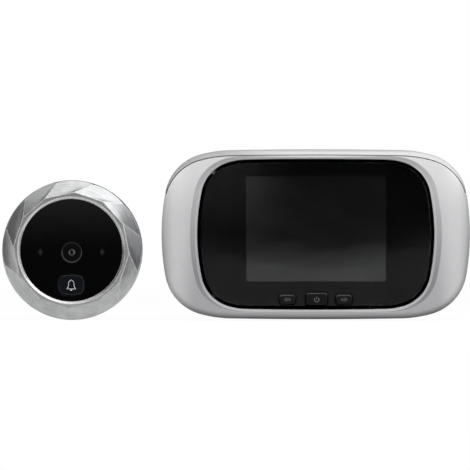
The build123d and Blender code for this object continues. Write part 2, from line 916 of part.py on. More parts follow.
def camera_socket():
    """Socket on the main board for the outdoor camera's cable, seen in the nut pocket."""
    depth = camera_socket_depth + nut_pocket_wall
    return pin_socket(camera_socket_w, camera_socket_h, board_back_z - depth, depth)


def facet_corners(radius, turn, z):
    """Corners of a regular polygon at a height, the first one repeated at the end."""
    corners = []
    for number in range(facet_count + 1):
        angle = radians(turn + number * 360 / facet_count)
        corners.append(Vector(radius * cos(angle), radius * sin(angle), z))
    return corners


def twisted_facets(low_z):
    """Solid whose sides turn as they widen, each one ruled between a front and a back edge."""
    front = facet_corners(facet_inner_r, facet_start_turn, bezel_front_z)
    back = facet_corners(facet_outer_r, facet_start_turn - facet_twist, low_z)
    faces = [Face(Wire.make_polygon(front[:-1])), Face(Wire.make_polygon(back[:-1]))]
    for number in range(facet_count):
        faces.append(Face.make_surface_from_curves(
            Edge.make_line(front[number], front[number + 1]),
            Edge.make_line(back[number], back[number + 1])))
    return Solid(Shell(faces))


def bezel_ring():
    """Cast ring with twelve twisted facets, a bright lip and a ledge for the disc."""
    wall_low = (0.0, bezel_back_z)
    centre_z = bezel_round_start_z
    end_z = bezel_front_z
    end_r = bezel_r - bezel_round_r + sqrt(bezel_round_r ** 2 - (end_z - centre_z) ** 2)
    half_z = (end_z - centre_z) / 2
    middle_r = bezel_r - bezel_round_r + sqrt(bezel_round_r ** 2 - half_z ** 2)
    outline = [
        Line(wall_low, (bezel_r, bezel_back_z)),
        Line((bezel_r, bezel_back_z), (bezel_r, centre_z)),
        ThreePointArc((bezel_r, centre_z), (middle_r, centre_z + half_z), (end_r, end_z)),
        Line((end_r, end_z), (0.0, end_z)),
        Line((0.0, end_z), wall_low),
    ]
    dome = revolve(Plane.XZ * make_face(outline), Axis.Z)
    low_z = bezel_front_z - facet_drop
    skirt = disc(bezel_r + overrun, bezel_back_z, low_z - bezel_back_z)
    ring = dome & (skirt + twisted_facets(low_z))
    face_low_z = bezel_front_z - bezel_face_t
    ring -= disc(bezel_r - bezel_wall, bezel_back_z, face_low_z - bezel_back_z)
    ledge_z = disc_back_z
    ring -= disc(disc_r - disc_ledge_w, face_low_z, ledge_z - face_low_z)
    ring -= disc(disc_r + press_gap, ledge_z, overrun)
    lip = Cone(disc_r + press_gap, disc_r + press_gap + lip_w, lip_w)
    ring -= Pos(0, 0, bezel_front_z - lip_w / 2) * lip
    for x, y in base_screw_places():
        ring += disc(base_post_r, base_front_z + seam_gap, face_low_z - base_front_z - seam_gap, x, y)
        ring -= disc(screw_shank_r, base_front_z, shell_screw_l / 2, x, y)
    return ring


def base_screw_places():
    """Centres of the screws that join the base to the bezel ring."""
    spread = bezel_r - bezel_wall - base_post_r - seam_gap
    places = []
    for number in range(base_screw_count):
        turn = radians(90 + number * 360 / base_screw_count)
        places.append((spread * cos(turn), spread * sin(turn)))
    return places


def bell_face(grow=0.0):
    """Outline of the bell button, bowed on its four sides."""
    half_w = bell_w / 2 + grow
    half_h = bell_h / 2 + grow
    corner_w = half_w - bell_side_bow
    corner_h = half_h - bell_top_bow
    edges = [
        ThreePointArc((-corner_w, corner_h), (0, half_h), (corner_w, corner_h)),
        ThreePointArc((corner_w, corner_h), (half_w, 0), (corner_w, -corner_h)),
        ThreePointArc((corner_w, -corner_h), (0, -half_h), (-corner_w, -corner_h)),
        ThreePointArc((-corner_w, -corner_h), (-half_w, 0), (-corner_w, corner_h)),
    ]
    face = make_face(edges)
    return fillet(face.vertices(), bell_round + grow)


def bell_button():
    """Bell button with a flange that keeps it behind the disc."""
    flange_z = disc_back_z - bell_flange_t - press_gap
    cap_h = disc_front_z + bell_proud - flange_z
    cap = Pos(0, bell_y, flange_z) * extrude(bell_face(), cap_h)
    cap = fillet(cap.edges().group_by(Axis.Z)[-1], bell_edge)
    flange = Pos(0, bell_y, flange_z) * extrude(bell_face(bell_flange), bell_flange_t)
    return cap + (flange & disc(disc_r - disc_ledge_w - seam_gap, flange_z, bell_flange_t))


def front_disc():
    """Black disc with openings for the lens and the bell button."""
    plate_part = disc(disc_r, disc_back_z, disc_t)
    plate_part -= disc(lens_ring_r + press_gap, disc_back_z, disc_t, lens_x, lens_y)
    hole = Pos(0, bell_y, disc_back_z) * extrude(bell_face(button_gap), disc_t)
    return plate_part - hole


def lens_ring():
    """Ring round the lens, with the shallow black cone inside it."""
    low_z = disc_front_z + lens_ring_lip - lens_ring_t
    ring = disc(lens_ring_r, low_z, lens_ring_t, lens_x, lens_y)
    inner_r = lens_ring_r - lens_ring_w
    cone_h = lens_ring_t - lens_cone_t
    cone = Cone(lens_glass_r + press_gap, inner_r, cone_h)
    ring -= Pos(lens_x, lens_y, low_z + lens_cone_t + cone_h / 2) * cone
    return ring - disc(lens_glass_r + press_gap, low_z, lens_ring_t, lens_x, lens_y)


def lens_glass():
    """Domed front element of the lens."""
    top_z = disc_front_z + lens_ring_lip - lens_glass_depth
    glass = disc(lens_glass_r, top_z - lens_glass_t, lens_glass_t, lens_x, lens_y)
    return fillet(glass.edges().group_by(Axis.Z)[-1], lens_glass_t / 3)


def lens_barrel():
    """Barrel that holds the lens elements, behind the ring."""
    high_z = disc_front_z + lens_ring_lip - lens_ring_t - press_gap
    barrel = disc(barrel_r, high_z - barrel_l, barrel_l, lens_x, lens_y)
    return barrel - disc(lens_glass_r + press_gap, high_z - barrel_l / 3, barrel_l, lens_x, lens_y)


def lens_holder():
    """Square holder on the board; the barrel screws into it."""
    holder = block(holder_w, holder_w, outdoor_board_front_z, holder_t, lens_x, lens_y)
    holder -= disc(barrel_r + press_gap, outdoor_board_front_z + sensor_t, holder_t, lens_x, lens_y)
    return holder - block(
        sensor_w + 2 * slip_gap, sensor_w + 2 * slip_gap, outdoor_board_front_z, sensor_t + slip_gap,
        lens_x, lens_y)


def image_sensor():
    """Image sensor under the barrel."""
    return block(sensor_w, sensor_w, outdoor_board_front_z, sensor_t, lens_x, lens_y)


def infrared_leds():
    """Two infrared lamps on the board, left and right of the lens."""
    lamps = []
    for side in sides:
        x = side * led_spread
        lamp = disc(led_base_r, outdoor_board_front_z, led_base_t, x)
        lamp += disc(led_r, outdoor_board_front_z, led_l - led_r, x)
        lamps.append(lamp + Pos(x, 0, outdoor_board_front_z + led_l - led_r) * Sphere(led_r))
    return lamps


def led_sleeves():
    """Dark sleeves round the infrared lamps."""
    low_z = disc_back_z - press_gap - led_sleeve_l
    outer_r = led_base_r + led_sleeve_t
    return [
        disc(outer_r, low_z, led_sleeve_l, side * led_spread)
        - disc(led_base_r + press_gap, low_z, led_sleeve_l, side * led_spread)
        for side in sides]


def outdoor_board():
    """Round circuit board of the outdoor camera."""
    board = disc(outdoor_board_r, outdoor_board_z, outdoor_board_t)
    for x, y in outdoor_board_screw_places():
        board -= disc(screw_hole_r, outdoor_board_z, outdoor_board_t, x, y)
    return board


def outdoor_board_screw_places():
    """Centres of the two screws that hold the outdoor board."""
    turn = radians(base_post_turn)
    return [(side * base_post_spread * cos(turn), side * base_post_spread * sin(turn)) for side in sides]


def outdoor_board_screws():
    """Two screws through the outdoor board into the base's posts."""
    high_z = outdoor_board_front_z + screw_head_t
    return [screw(x, y, high_z, board_screw_l, -1) for x, y in outdoor_board_screw_places()]


def bell_switch():
    """Tactile switch behind the bell button."""
    high_z = disc_back_z - bell_flange_t - press_gap - bell_travel - seam_gap
    body_t = high_z - outdoor_board_front_z
    body = block(switch_w, switch_w, outdoor_board_front_z, body_t - seam_gap, y=bell_y)
    return body + disc(switch_plunger_r, outdoor_board_front_z, body_t, y=bell_y)


def outdoor_socket():
    """Cable socket on the back of the outdoor board."""
    return pin_socket(
        outdoor_socket_w, outdoor_socket_h, outdoor_board_z - outdoor_socket_l, outdoor_socket_l,
        y=outdoor_socket_y)


def rear_base():
    """Base with a spigot that fits inside the bezel ring, and posts for the board."""
    base = disc(bezel_r, base_z, base_t - slip_gap)
    spigot_r = bezel_r - bezel_wall - slip_gap
    base += disc(spigot_r, base_z, base_t + base_spigot_h) - disc(
        spigot_r - base_spigot_t, base_front_z, base_spigot_h)
    for x, y in base_screw_places():
        clear_r = base_post_r + seam_gap
        base -= disc(clear_r, base_front_z, base_spigot_h, x, y)
        base -= disc(screw_hole_r, base_z, base_t, x, y)
        base -= disc(screw_head_r + slip_gap, base_z, screw_head_t, x, y)
    for x, y in outdoor_board_screw_places():
        base += disc(base_post_r, base_front_z, outdoor_board_z - base_front_z, x, y)
        base -= disc(screw_shank_r, outdoor_board_front_z - board_screw_l, board_screw_l, x, y)
    return base - disc(tube_r + press_gap, base_z, base_t)


def base_screws():
    """Screws from the back of the base into the bezel ring's posts."""
    return [screw(x, y, base_z, shell_screw_l / 2, 1) for x, y in base_screw_places()]


def adhesive_pad():
    """Foam pad between the base and the door."""
    pad = disc(bezel_r - pad_inset, 0, pad_t)
    return pad - disc(tube_r + seam_gap, 0, pad_t)


def mounting_tube():
    """Hollow tube for the door, with a flange inside the base and a groove to snap off its end."""
    length = base_front_z - tube_back_z
    tube = disc(tube_r, tube_back_z, length)
    tube += disc(tube_flange_r, base_front_z, tube_flange_t)
    groove_z = nut_back_z - snap_groove_gap - snap_groove_w
    tube -= disc(tube_r, groove_z, snap_groove_w) - disc(tube_r - snap_groove_depth, groove_z, snap_groove_w)
    return tube - disc(tube_bore_r, tube_back_z, length + tube_flange_t)


def lock_washer():
    """Washer on the tube, between the nut and the bracket."""
    front_z = -nut_start_gap
    ring = disc(washer_r, front_z - washer_t, washer_t)
    return ring - disc(tube_r + tube_fit, front_z - washer_t, washer_t)


def lock_nut():
    """Hexagon nut that runs on the tube behind the washer."""
    low_z = nut_back_z
    blank = Pos(0, 0, low_z) * extrude(RegularPolygon(nut_across_flats / 2, 6, major_radius=False), nut_t)
    corner_r = nut_across_flats / 2 + nut_edge
    body_h = nut_t - 2 * nut_edge
    barrel = disc(corner_r + nut_edge, low_z + nut_edge, body_h)
    for z, low_r, high_r in (
            (low_z + nut_edge / 2, corner_r, corner_r + nut_edge),
            (low_z + nut_t - nut_edge / 2, corner_r + nut_edge, corner_r)):
        barrel += Pos(0, 0, z) * Cone(low_r, high_r, nut_edge)
    return (blank & barrel) - disc(tube_r + tube_fit, low_z, nut_t)


def stand_up(shape):
    """Turn a piece from its face-on drawing to upright, with the viewer at -Y."""
    return Plane.XZ.location * shape


def save(name, piece, moved=Location()):
    """Write one node; a list of pieces becomes one file of separate solids."""
    pieces = piece if isinstance(piece, list) else [piece]
    solids = []
    for item in pieces:
        solids.extend((moved * item).solids())
    turned = [stand_up(solid) for solid in solids]
    shape = turned[0] if len(turned) == 1 else Compound(children=turned)
    export_step(shape, os.path.join("parts", name + ".step"))


os.makedirs("parts", exist_ok=True)

skin = housing_skin()
shell = skin - housing_cavity()

save("front_shell", front_shell(shell))
save("rear_shell", rear_shell(shell))
save("front_panel", front_panel())
save("panel_mask", panel_mask())
save("lcd_frame", lcd_frame())
save("lcd_glass", lcd_glass())
save("backlight", backlight())
save("main_board", main_board())
save("board_chips", board_chips())
save("button_switches", button_switches())
for button_name, button_x, button_y, cap_w, cap_h in button_places():
    save(button_name, button_cap(button_x, button_y, cap_w, cap_h))
save("shell_screws", shell_screws())
save("board_screws", board_screws())
save("battery_cells", battery_cells())
save("battery_contacts", battery_contacts())
save("battery_cover", battery_cover(skin))
save("wall_bracket", wall_bracket())
save("usb_socket", usb_socket())
save("card_socket", card_socket())
save("slide_switch_body", slide_body())
save("slide_switch_knob", slide_knob())
save("speaker", speaker())
save("camera_socket", camera_socket())

beside = Pos(outdoor_x, outdoor_y, 0)
save("bezel_ring", bezel_ring(), beside)
save("front_disc", front_disc(), beside)
save("bell_button", bell_button(), beside)
save("bell_switch", bell_switch(), beside)
save("lens_ring", lens_ring(), beside)
save("lens_glass", lens_glass(), beside)
save("lens_barrel", lens_barrel(), beside)
save("lens_holder", lens_holder(), beside)
save("image_sensor", image_sensor(), beside)
save("infrared_leds", infrared_leds(), beside)
save("led_sleeves", led_sleeves(), beside)
save("outdoor_board", outdoor_board(), beside)
save("outdoor_board_screws", outdoor_board_screws(), beside)
save("outdoor_socket", outdoor_socket(), beside)
save("rear_base", rear_base(), beside)
save("base_screws", base_screws(), beside)
save("adhesive_pad", adhesive_pad(), beside)
save("mounting_tube", mounting_tube(), beside)
save("lock_washer", lock_washer(), beside)
save("lock_nut", lock_nut(), beside)
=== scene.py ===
"""Looks of the peephole door camera: finishes, printed symbols, tube thread, studio and camera."""

import json
import math

import bmesh
import bpy
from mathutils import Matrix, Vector


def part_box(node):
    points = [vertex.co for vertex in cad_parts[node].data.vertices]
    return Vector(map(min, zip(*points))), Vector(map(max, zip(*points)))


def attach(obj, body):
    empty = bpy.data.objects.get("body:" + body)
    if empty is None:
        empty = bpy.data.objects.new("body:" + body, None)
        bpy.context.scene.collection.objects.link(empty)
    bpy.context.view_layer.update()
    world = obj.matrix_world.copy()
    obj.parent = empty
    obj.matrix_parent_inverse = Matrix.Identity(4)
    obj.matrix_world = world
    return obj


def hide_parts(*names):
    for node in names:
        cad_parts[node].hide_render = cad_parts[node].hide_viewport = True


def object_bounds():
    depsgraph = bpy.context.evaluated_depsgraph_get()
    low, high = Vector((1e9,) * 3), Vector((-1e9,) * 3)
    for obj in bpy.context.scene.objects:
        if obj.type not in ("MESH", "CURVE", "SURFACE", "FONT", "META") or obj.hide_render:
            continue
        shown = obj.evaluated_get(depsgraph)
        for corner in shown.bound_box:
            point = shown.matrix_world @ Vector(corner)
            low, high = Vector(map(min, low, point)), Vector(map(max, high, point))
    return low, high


MM = 0.001
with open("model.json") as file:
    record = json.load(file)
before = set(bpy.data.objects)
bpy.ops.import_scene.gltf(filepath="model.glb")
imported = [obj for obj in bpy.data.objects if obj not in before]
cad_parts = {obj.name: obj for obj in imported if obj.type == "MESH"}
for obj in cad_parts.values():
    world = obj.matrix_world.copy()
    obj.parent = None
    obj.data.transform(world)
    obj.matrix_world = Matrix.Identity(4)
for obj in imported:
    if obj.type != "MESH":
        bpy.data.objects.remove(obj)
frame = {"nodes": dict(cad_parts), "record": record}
cad_low, cad_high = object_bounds()

FULL_TURN = 2 * math.pi
SHARP_ANGLE = math.radians(32)
RING_CENTRE = (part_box("bezel_ring")[0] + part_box("bezel_ring")[1]) / 2
LENS_CENTRE = (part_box("lens_glass")[0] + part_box("lens_glass")[1]) / 2
PHOTO_MIDDLE_X = -33.3 * MM
PHOTO_MIDDLE_Z = -0.3 * MM
PRINT_THICKNESS = 0.03


# Camera and lamps

def put_in_scene(name, data):
    """New object in the scene."""
    item = bpy.data.objects.new(name, data)
    bpy.context.scene.collection.objects.link(item)
    return item


def photo_camera():
    """Straight-on camera with a long lens, at the photograph's scale."""
    lens_mm = 222.0
    sensor_mm = 36.0
    view_width = 194.2 * MM
    front_y = -18 * MM
    data = bpy.data.cameras.new("photo_camera")
    data.lens = lens_mm
    data.sensor_width = sensor_mm
    camera = put_in_scene("photo_camera", data)
    distance = view_width * lens_mm / sensor_mm
    camera.location = (PHOTO_MIDDLE_X, front_y - distance, PHOTO_MIDDLE_Z)
    camera.rotation_euler = (math.radians(90), 0, 0)
    bpy.context.scene.camera = camera


def soft_lamp(name, place, aim, size, power):
    """Square soft lamp that points at a place and leaves no highlight of its own."""
    data = bpy.data.lights.new(name, "AREA")
    data.shape = "SQUARE"
    data.size = size
    data.energy = power
    lamp = put_in_scene(name, data)
    lamp.location = place
    lamp.visible_camera = False
    lamp.visible_glossy = False
    lamp.rotation_euler = (Vector(aim) - Vector(place)).to_track_quat("-Z", "Y").to_euler()


# Node helpers

def feed(tree, socket, value):
    """Gives a socket a number, a colour or another node's output."""
    if isinstance(value, bpy.types.NodeSocket):
        tree.links.new(value, socket)
    elif value is not None:
        socket.default_value = value


def feed_named(tree, node, **values):
    """Feeds a node's inputs by their names, written with underscores."""
    for key, value in values.items():
        feed(tree, node.inputs[key.replace("_", " ")], value)


def add(tree, kind, inputs=(), **settings):
    """Shader node with its settings and its inputs by name or number."""
    node = tree.nodes.new("ShaderNode" + kind)
    for key, value in settings.items():
        setattr(node, key, value)
    for key, value in dict(inputs).items():
        feed(tree, node.inputs[key], value)
    return node


def arithmetic(tree, operation, first, *others):
    """One operation on a value alone, or from value to value along a list."""
    result = first
    for other in others or (None,):
        result = add(tree, "Math", {0: result, 1: other}, operation=operation).outputs[0]
    return result


def plus(tree, *values):
    """Sum of values."""
    return arithmetic(tree, "ADD", *values)


def minus(tree, first, second):
    """First value less the second."""
    return arithmetic(tree, "SUBTRACT", first, second)


def times(tree, *values):
    """Product of values."""
    return arithmetic(tree, "MULTIPLY", *values)


def largest(tree, *values):
    """Largest of values."""
    return arithmetic(tree, "MAXIMUM", *values)


def absolute(tree, value):
    """Value without its sign."""
    return arithmetic(tree, "ABSOLUTE", value)


def fade(tree, value, low, high, out_low=0.0, out_high=1.0):
    """Smooth step from one value to another."""
    inputs = {"Value": value, "From Min": low, "From Max": high,
              "To Min": out_low, "To Max": out_high}
    return add(tree, "MapRange", inputs, interpolation_type="SMOOTHSTEP").outputs[0]


def blend_colour(tree, share, first, second):
    """Colour between two colours."""
    inputs = {0: share, 6: first, 7: second}
    return add(tree, "Mix", inputs, data_type="RGBA").outputs[2]


def noise(tree, place, scale, detail=2.0, roughness=0.5):
    """Soft random value from 0 to 1."""
    inputs = {"Vector": place, "Scale": scale, "Detail": detail, "Roughness": roughness}
    return add(tree, "TexNoise", inputs).outputs["Fac"]


def apart(tree, vector):
    """The three parts of a vector."""
    return add(tree, "SeparateXYZ", {0: vector}).outputs


def offset_between(tree, start, end):
    """Vector from one place to another."""
    return add(tree, "VectorMath", {0: end, 1: start}, operation="SUBTRACT").outputs[0]


def level_direction(tree, start, end):
    """Direction from one place to another as seen from the front, with length 1."""
    without_depth = {0: offset_between(tree, start, end), 1: (1.0, 0.0, 1.0)}
    level = add(tree, "VectorMath", without_depth, operation="MULTIPLY").outputs[0]
    return add(tree, "VectorMath", {0: level}, operation="NORMALIZE").outputs[0]


def agreement(tree, first, second):
    """1 where two directions are the same, 0 where they are square to each other."""
    inputs = {0: first, 1: second}
    return add(tree, "VectorMath", inputs, operation="DOT_PRODUCT").outputs["Value"]


def rounded_normal(tree, radius, samples=8):
    """Surface direction that turns softly across an edge."""
    return add(tree, "Bevel", {"Radius": radius}, samples=samples).outputs[0]


def relief(tree, height, normal=None):
    """Surface direction that follows a height in metres."""
    inputs = {"Strength": 1.0, "Distance": 1.0, "Height": height, "Normal": normal}
    return add(tree, "Bump", inputs).outputs[0]


def ray_kinds(tree):
    """Whether the camera sees a place straight, and whether mirrored or through glass."""
    path = add(tree, "LightPath").outputs
    return path["Is Camera Ray"], largest(tree, path["Is Glossy Ray"], path["Is Transmission Ray"])


def effect(name, inputs, outputs):
    """Empty node group with named inputs (kind and first value) and outputs (kind)."""
    tree = bpy.data.node_groups.new(name, "ShaderNodeTree")
    for label, (kind, value) in inputs.items():
        socket = tree.interface.new_socket(label, in_out="INPUT", socket_type="NodeSocket" + kind)
        if value is not None:
            socket.default_value = value
    for label, kind in outputs.items():
        tree.interface.new_socket(label, in_out="OUTPUT", socket_type="NodeSocket" + kind)
    given = tree.nodes.new("NodeGroupInput").outputs
    result = tree.nodes.new("NodeGroupOutput").inputs
    return tree, given, result


def use(tree, group, **values):
    """Places an effect in a material with its own values."""
    node = tree.nodes.new("ShaderNodeGroup")
    node.node_tree = group
    feed_named(tree, node, **values)
    return node.outputs


# Effects that several finishes share

def make_grain():
    """Fine speckle of a moulded, painted or cast surface."""
    tree, given, result = effect(
        "fine_grain",
        {"Place": ("Vector", None), "Per metre": ("Float", 6000.0), "Depth": ("Float", 0.00001),
         "Light": ("Color", (1, 1, 1, 1)), "Dark": ("Color", (0, 0, 0, 1))},
        {"Colour": "Color", "Height": "Float"})
    coarse_scale, coarse_share = 0.07, 0.3
    fine = noise(tree, given["Place"], given["Per metre"], detail=3.0, roughness=0.6)
    coarse = noise(tree, given["Place"], times(tree, given["Per metre"], coarse_scale))
    speckle = plus(tree, times(tree, fine, 1 - coarse_share), times(tree, coarse, coarse_share))
    spread = fade(tree, speckle, 0.35, 0.65)
    feed(tree, result["Colour"], blend_colour(tree, spread, given["Dark"], given["Light"]))
    feed(tree, result["Height"], times(tree, speckle, given["Depth"]))
    return tree


def make_handling():
    """Faint smears from handling, which change the gloss."""
    tree, given, result = effect(
        "handling_smears",
        {"Place": ("Vector", None), "Per metre": ("Float", 60.0),
         "Polished": ("Float", 0.2), "Smeared": ("Float", 0.3)},
        {"Roughness": "Float"})
    drawn_out = {"Vector": given["Place"], "Rotation": (0.4, 0.9, 0.5), "Scale": (1.0, 1.0, 2.6)}
    pushed = add(tree, "Mapping", drawn_out).outputs[0]
    broad = noise(tree, pushed, given["Per metre"], detail=4.0, roughness=0.6)
    inputs = {"Value": broad, "From Min": 0.3, "From Max": 0.7,
              "To Min": given["Polished"], "To Max": given["Smeared"]}
    feed(tree, result["Roughness"], add(tree, "MapRange", inputs).outputs[0])
    return tree


def make_edge_wear_and_highlight():
    """Rounded edges and a lighter line along them: rubbed wear, and on the cast ring a painted
    highlight.
    """
    tree, given, result = effect(
        "edge_wear_and_highlight",
        {"Place": ("Vector", None), "Radius": ("Float", 0.0002), "Amount": ("Float", 0.3),
         "Start": ("Float", 0.995), "Full": ("Float", 0.86),
         "Colour": ("Color", (0.5, 0.5, 0.5, 1)), "Worn": ("Color", (0.8, 0.8, 0.8, 1))},
        {"Colour": "Color", "Rounded": "Vector", "Edge": "Float"})
    patches_per_metre = 450.0
    rounded = rounded_normal(tree, given["Radius"], samples=4)
    flat = add(tree, "NewGeometry").outputs["Normal"]
    turned = fade(tree, agreement(tree, rounded, flat), given["Start"], given["Full"])
    patches = noise(tree, given["Place"], patches_per_metre, detail=3.0)
    edge = times(tree, turned, fade(tree, patches, 0.36, 0.62, 0.35, 1.0), given["Amount"])
    feed(tree, result["Colour"], blend_colour(tree, edge, given["Colour"], given["Worn"]))
    feed(tree, result["Rounded"], rounded)
    feed(tree, result["Edge"], edge)
    return tree


def make_round_brushing():
    """Fine lines that run round an axis along Y, as a turned or brushed ring has."""
    tree, given, result = effect(
        "round_brushing",
        {"Place": ("Vector", None), "Centre": ("Vector", None),
         "Lines per metre": ("Float", 5000.0), "Depth": ("Float", 0.000004)},
        {"Streak": "Float", "Height": "Float", "Radius": "Float"})
    breaks_per_radian = 2.2
    x, _, z = apart(tree, offset_between(tree, given["Centre"], given["Place"]))
    radius = arithmetic(tree, "SQRT", plus(tree, times(tree, x, x), times(tree, z, z)))
    angle = absolute(tree, arithmetic(tree, "ARCTAN2", z, x))
    lines = {0: times(tree, radius, given["Lines per metre"]),
             1: times(tree, angle, breaks_per_radian)}
    lines_place = add(tree, "CombineXYZ", lines).outputs[0]
    streak = noise(tree, lines_place, 1.0, detail=3.0, roughness=0.65)
    feed(tree, result["Streak"], streak)
    feed(tree, result["Height"], times(tree, streak, given["Depth"]))
    feed(tree, result["Radius"], radius)
    return tree


GRAIN = make_grain()
HANDLING = make_handling()
EDGE_WEAR_AND_HIGHLIGHT = make_edge_wear_and_highlight()
ROUND_BRUSHING = make_round_brushing()


# Finishes

def colour(value):
    """Shader colour from three numbers, or one for a grey."""
    parts = (value, value, value) if isinstance(value, (int, float)) else value
    return (*parts, 1.0)


def new_finish(name):
    """Empty material with its shader, and the place on the piece that the effects use."""
    material = bpy.data.materials.new(name)
    material.use_nodes = True
    tree = material.node_tree
    shader = next(n for n in tree.nodes if n.type == "BSDF_PRINCIPLED")
    place = add(tree, "TexCoord").outputs["Object"]
    return material, tree, shader, place


def worn_surface(name, light, dark, polished, smeared, grain=6000.0, depth=4e-6, smears=60.0,
                 edge_radius=1.5e-4, worn=None, wear=0.35, **shader_values):
    """Finish with grain, uneven gloss, rounded edges and rubbed edges."""
    material, tree, shader, place = new_finish(name)
    speckle = use(tree, GRAIN, Place=place, Per_metre=grain, Depth=depth,
                  Light=colour(light), Dark=colour(dark))
    edges = use(tree, EDGE_WEAR_AND_HIGHLIGHT, Place=place, Radius=edge_radius, Amount=wear,
                Colour=speckle["Colour"], Worn=colour(worn if worn is not None else light))
    gloss = use(tree, HANDLING, Place=place, Per_metre=smears, Polished=polished, Smeared=smeared)
    feed_named(tree, shader, Base_Color=edges["Colour"], Roughness=gloss["Roughness"],
               Normal=relief(tree, speckle["Height"], edges["Rounded"]), **shader_values)
    return material


def metal_surface(name, light, dark, polished, smeared, **values):
    """Bare metal with grain, uneven gloss and rubbed edges."""
    return worn_surface(name, light, dark, polished, smeared, Metallic=1.0, **values)


def print_finish(name, light, dark):
    """Matt printed ink."""
    return worn_surface(name, light, dark, polished=0.4, smeared=0.55, grain=9000.0, depth=2e-6,
                        edge_radius=4e-5)


def cast_ring_finish():
    """Satin cast ring: brushed facets, a brushed flat, a polished inner lip and painted highlights
    on its creases.
    """
    lip_start, lip_full = 22.25 * MM, 22.0 * MM
    material, tree, shader, place = new_finish("cast_silver")
    brushed = use(tree, ROUND_BRUSHING, Place=place, Centre=RING_CENTRE, Lines_per_metre=4200.0,
                  Depth=5e-6)
    cloudy = noise(tree, place, 150.0, detail=4.0, roughness=0.6)
    tone = plus(tree, times(tree, brushed["Streak"], 0.6), times(tree, cloudy, 0.4))
    body = blend_colour(tree, fade(tree, tone, 0.35, 0.65),
                        colour((0.50, 0.505, 0.51)), colour((0.76, 0.765, 0.77)))
    lip = fade(tree, brushed["Radius"], lip_start, lip_full)
    body = blend_colour(tree, lip, body, colour(0.92))
    # Painted highlight: the creases are coloured white and less metallic, so they stay bright
    # whatever they mirror.
    edges = use(tree, EDGE_WEAR_AND_HIGHLIGHT, Place=place, Radius=6e-4, Amount=1.5, Start=0.9995, Full=0.992,
                Colour=body, Worn=colour(1.0))
    satin = plus(tree, 0.2, times(tree, tone, 0.2))
    feed_named(tree, shader, Base_Color=edges["Colour"],
               Roughness=minus(tree, satin, times(tree, lip, 0.14)),
               Normal=relief(tree, brushed["Height"], edges["Rounded"]),
               Metallic=fade(tree, edges["Edge"], 0.0, 1.0, 1.0, 0.35))
    return material


def clear_panel_finish():
    """Clear acrylic with a faint tint and a black print along its rims.

    It mirrors nothing itself: the film and the display behind it give the gloss.
    """
    rim_band, print_overlap = 0.6 * MM, 0.1 * MM
    material, tree, shader, place = new_finish("clear_panel")
    film_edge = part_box("panel_mask")[1].z - print_overlap
    flat = add(tree, "NewGeometry").outputs["True Normal"]
    facing = absolute(tree, apart(tree, flat)[1])
    rounded = rounded_normal(tree, rim_band)
    rim = fade(tree, facing, 0.99, 0.95)
    near_rim = fade(tree, agreement(tree, rounded, flat), 0.998, 0.975)
    height = absolute(tree, apart(tree, place)[2])
    past_film = fade(tree, height, film_edge, film_edge + print_overlap)
    tint = blend_colour(tree, noise(tree, place, 60.0, detail=4.0),
                        colour((0.93, 0.935, 0.94)), colour((0.97, 0.975, 0.98)))
    printed = largest(tree, rim, near_rim, past_film)
    feed_named(tree, shader, Base_Color=blend_colour(tree, printed, tint, colour(0.1)),
               Roughness=times(tree, rim, 0.6), Normal=flat)
    shader.inputs["Transmission Weight"].default_value = 1.0
    shader.inputs["IOR"].default_value = 1.0
    return material


def button_cap_finish():
    """Gloss black cap with a painted highlight along its upper rim."""
    rim_band = 0.6 * MM
    material, tree, shader, place = new_finish("black_caps")
    speckle = use(tree, GRAIN, Place=place, Per_metre=6000.0, Depth=3e-7,
                  Light=colour(0.0012), Dark=colour(0.0008))
    # Painted highlight: the rim that faces up is coloured lighter, unevenly.
    facing_up = fade(tree, apart(tree, rounded_normal(tree, rim_band))[2], 0.06, 0.3)
    uneven = fade(tree, noise(tree, place, 450.0), 0.3, 0.6, 0.5, 1.0)
    bright = times(tree, facing_up, uneven)
    gloss = use(tree, HANDLING, Place=place, Per_metre=60.0, Polished=0.03, Smeared=0.07)
    feed_named(tree, shader,
               Base_Color=blend_colour(tree, bright, speckle["Colour"], colour(0.09)),
               Roughness=largest(tree, gloss["Roughness"], times(tree, bright, 0.5)),
               Normal=relief(tree, speckle["Height"]), IOR=1.33)
    return material


def display_finish():
    """Dark display with a soft sheen and a faint haze."""
    material, tree, shader, place = new_finish("display_glass")
    haze = blend_colour(tree, noise(tree, place, 45.0, detail=3.0),
                        colour((0.0008, 0.0008, 0.0009)), colour((0.002, 0.002, 0.0022)))
    gloss = use(tree, HANDLING, Place=place, Per_metre=50.0, Polished=0.035, Smeared=0.07)
    feed_named(tree, shader, Base_Color=haze, Roughness=gloss["Roughness"], IOR=1.95)
    return material


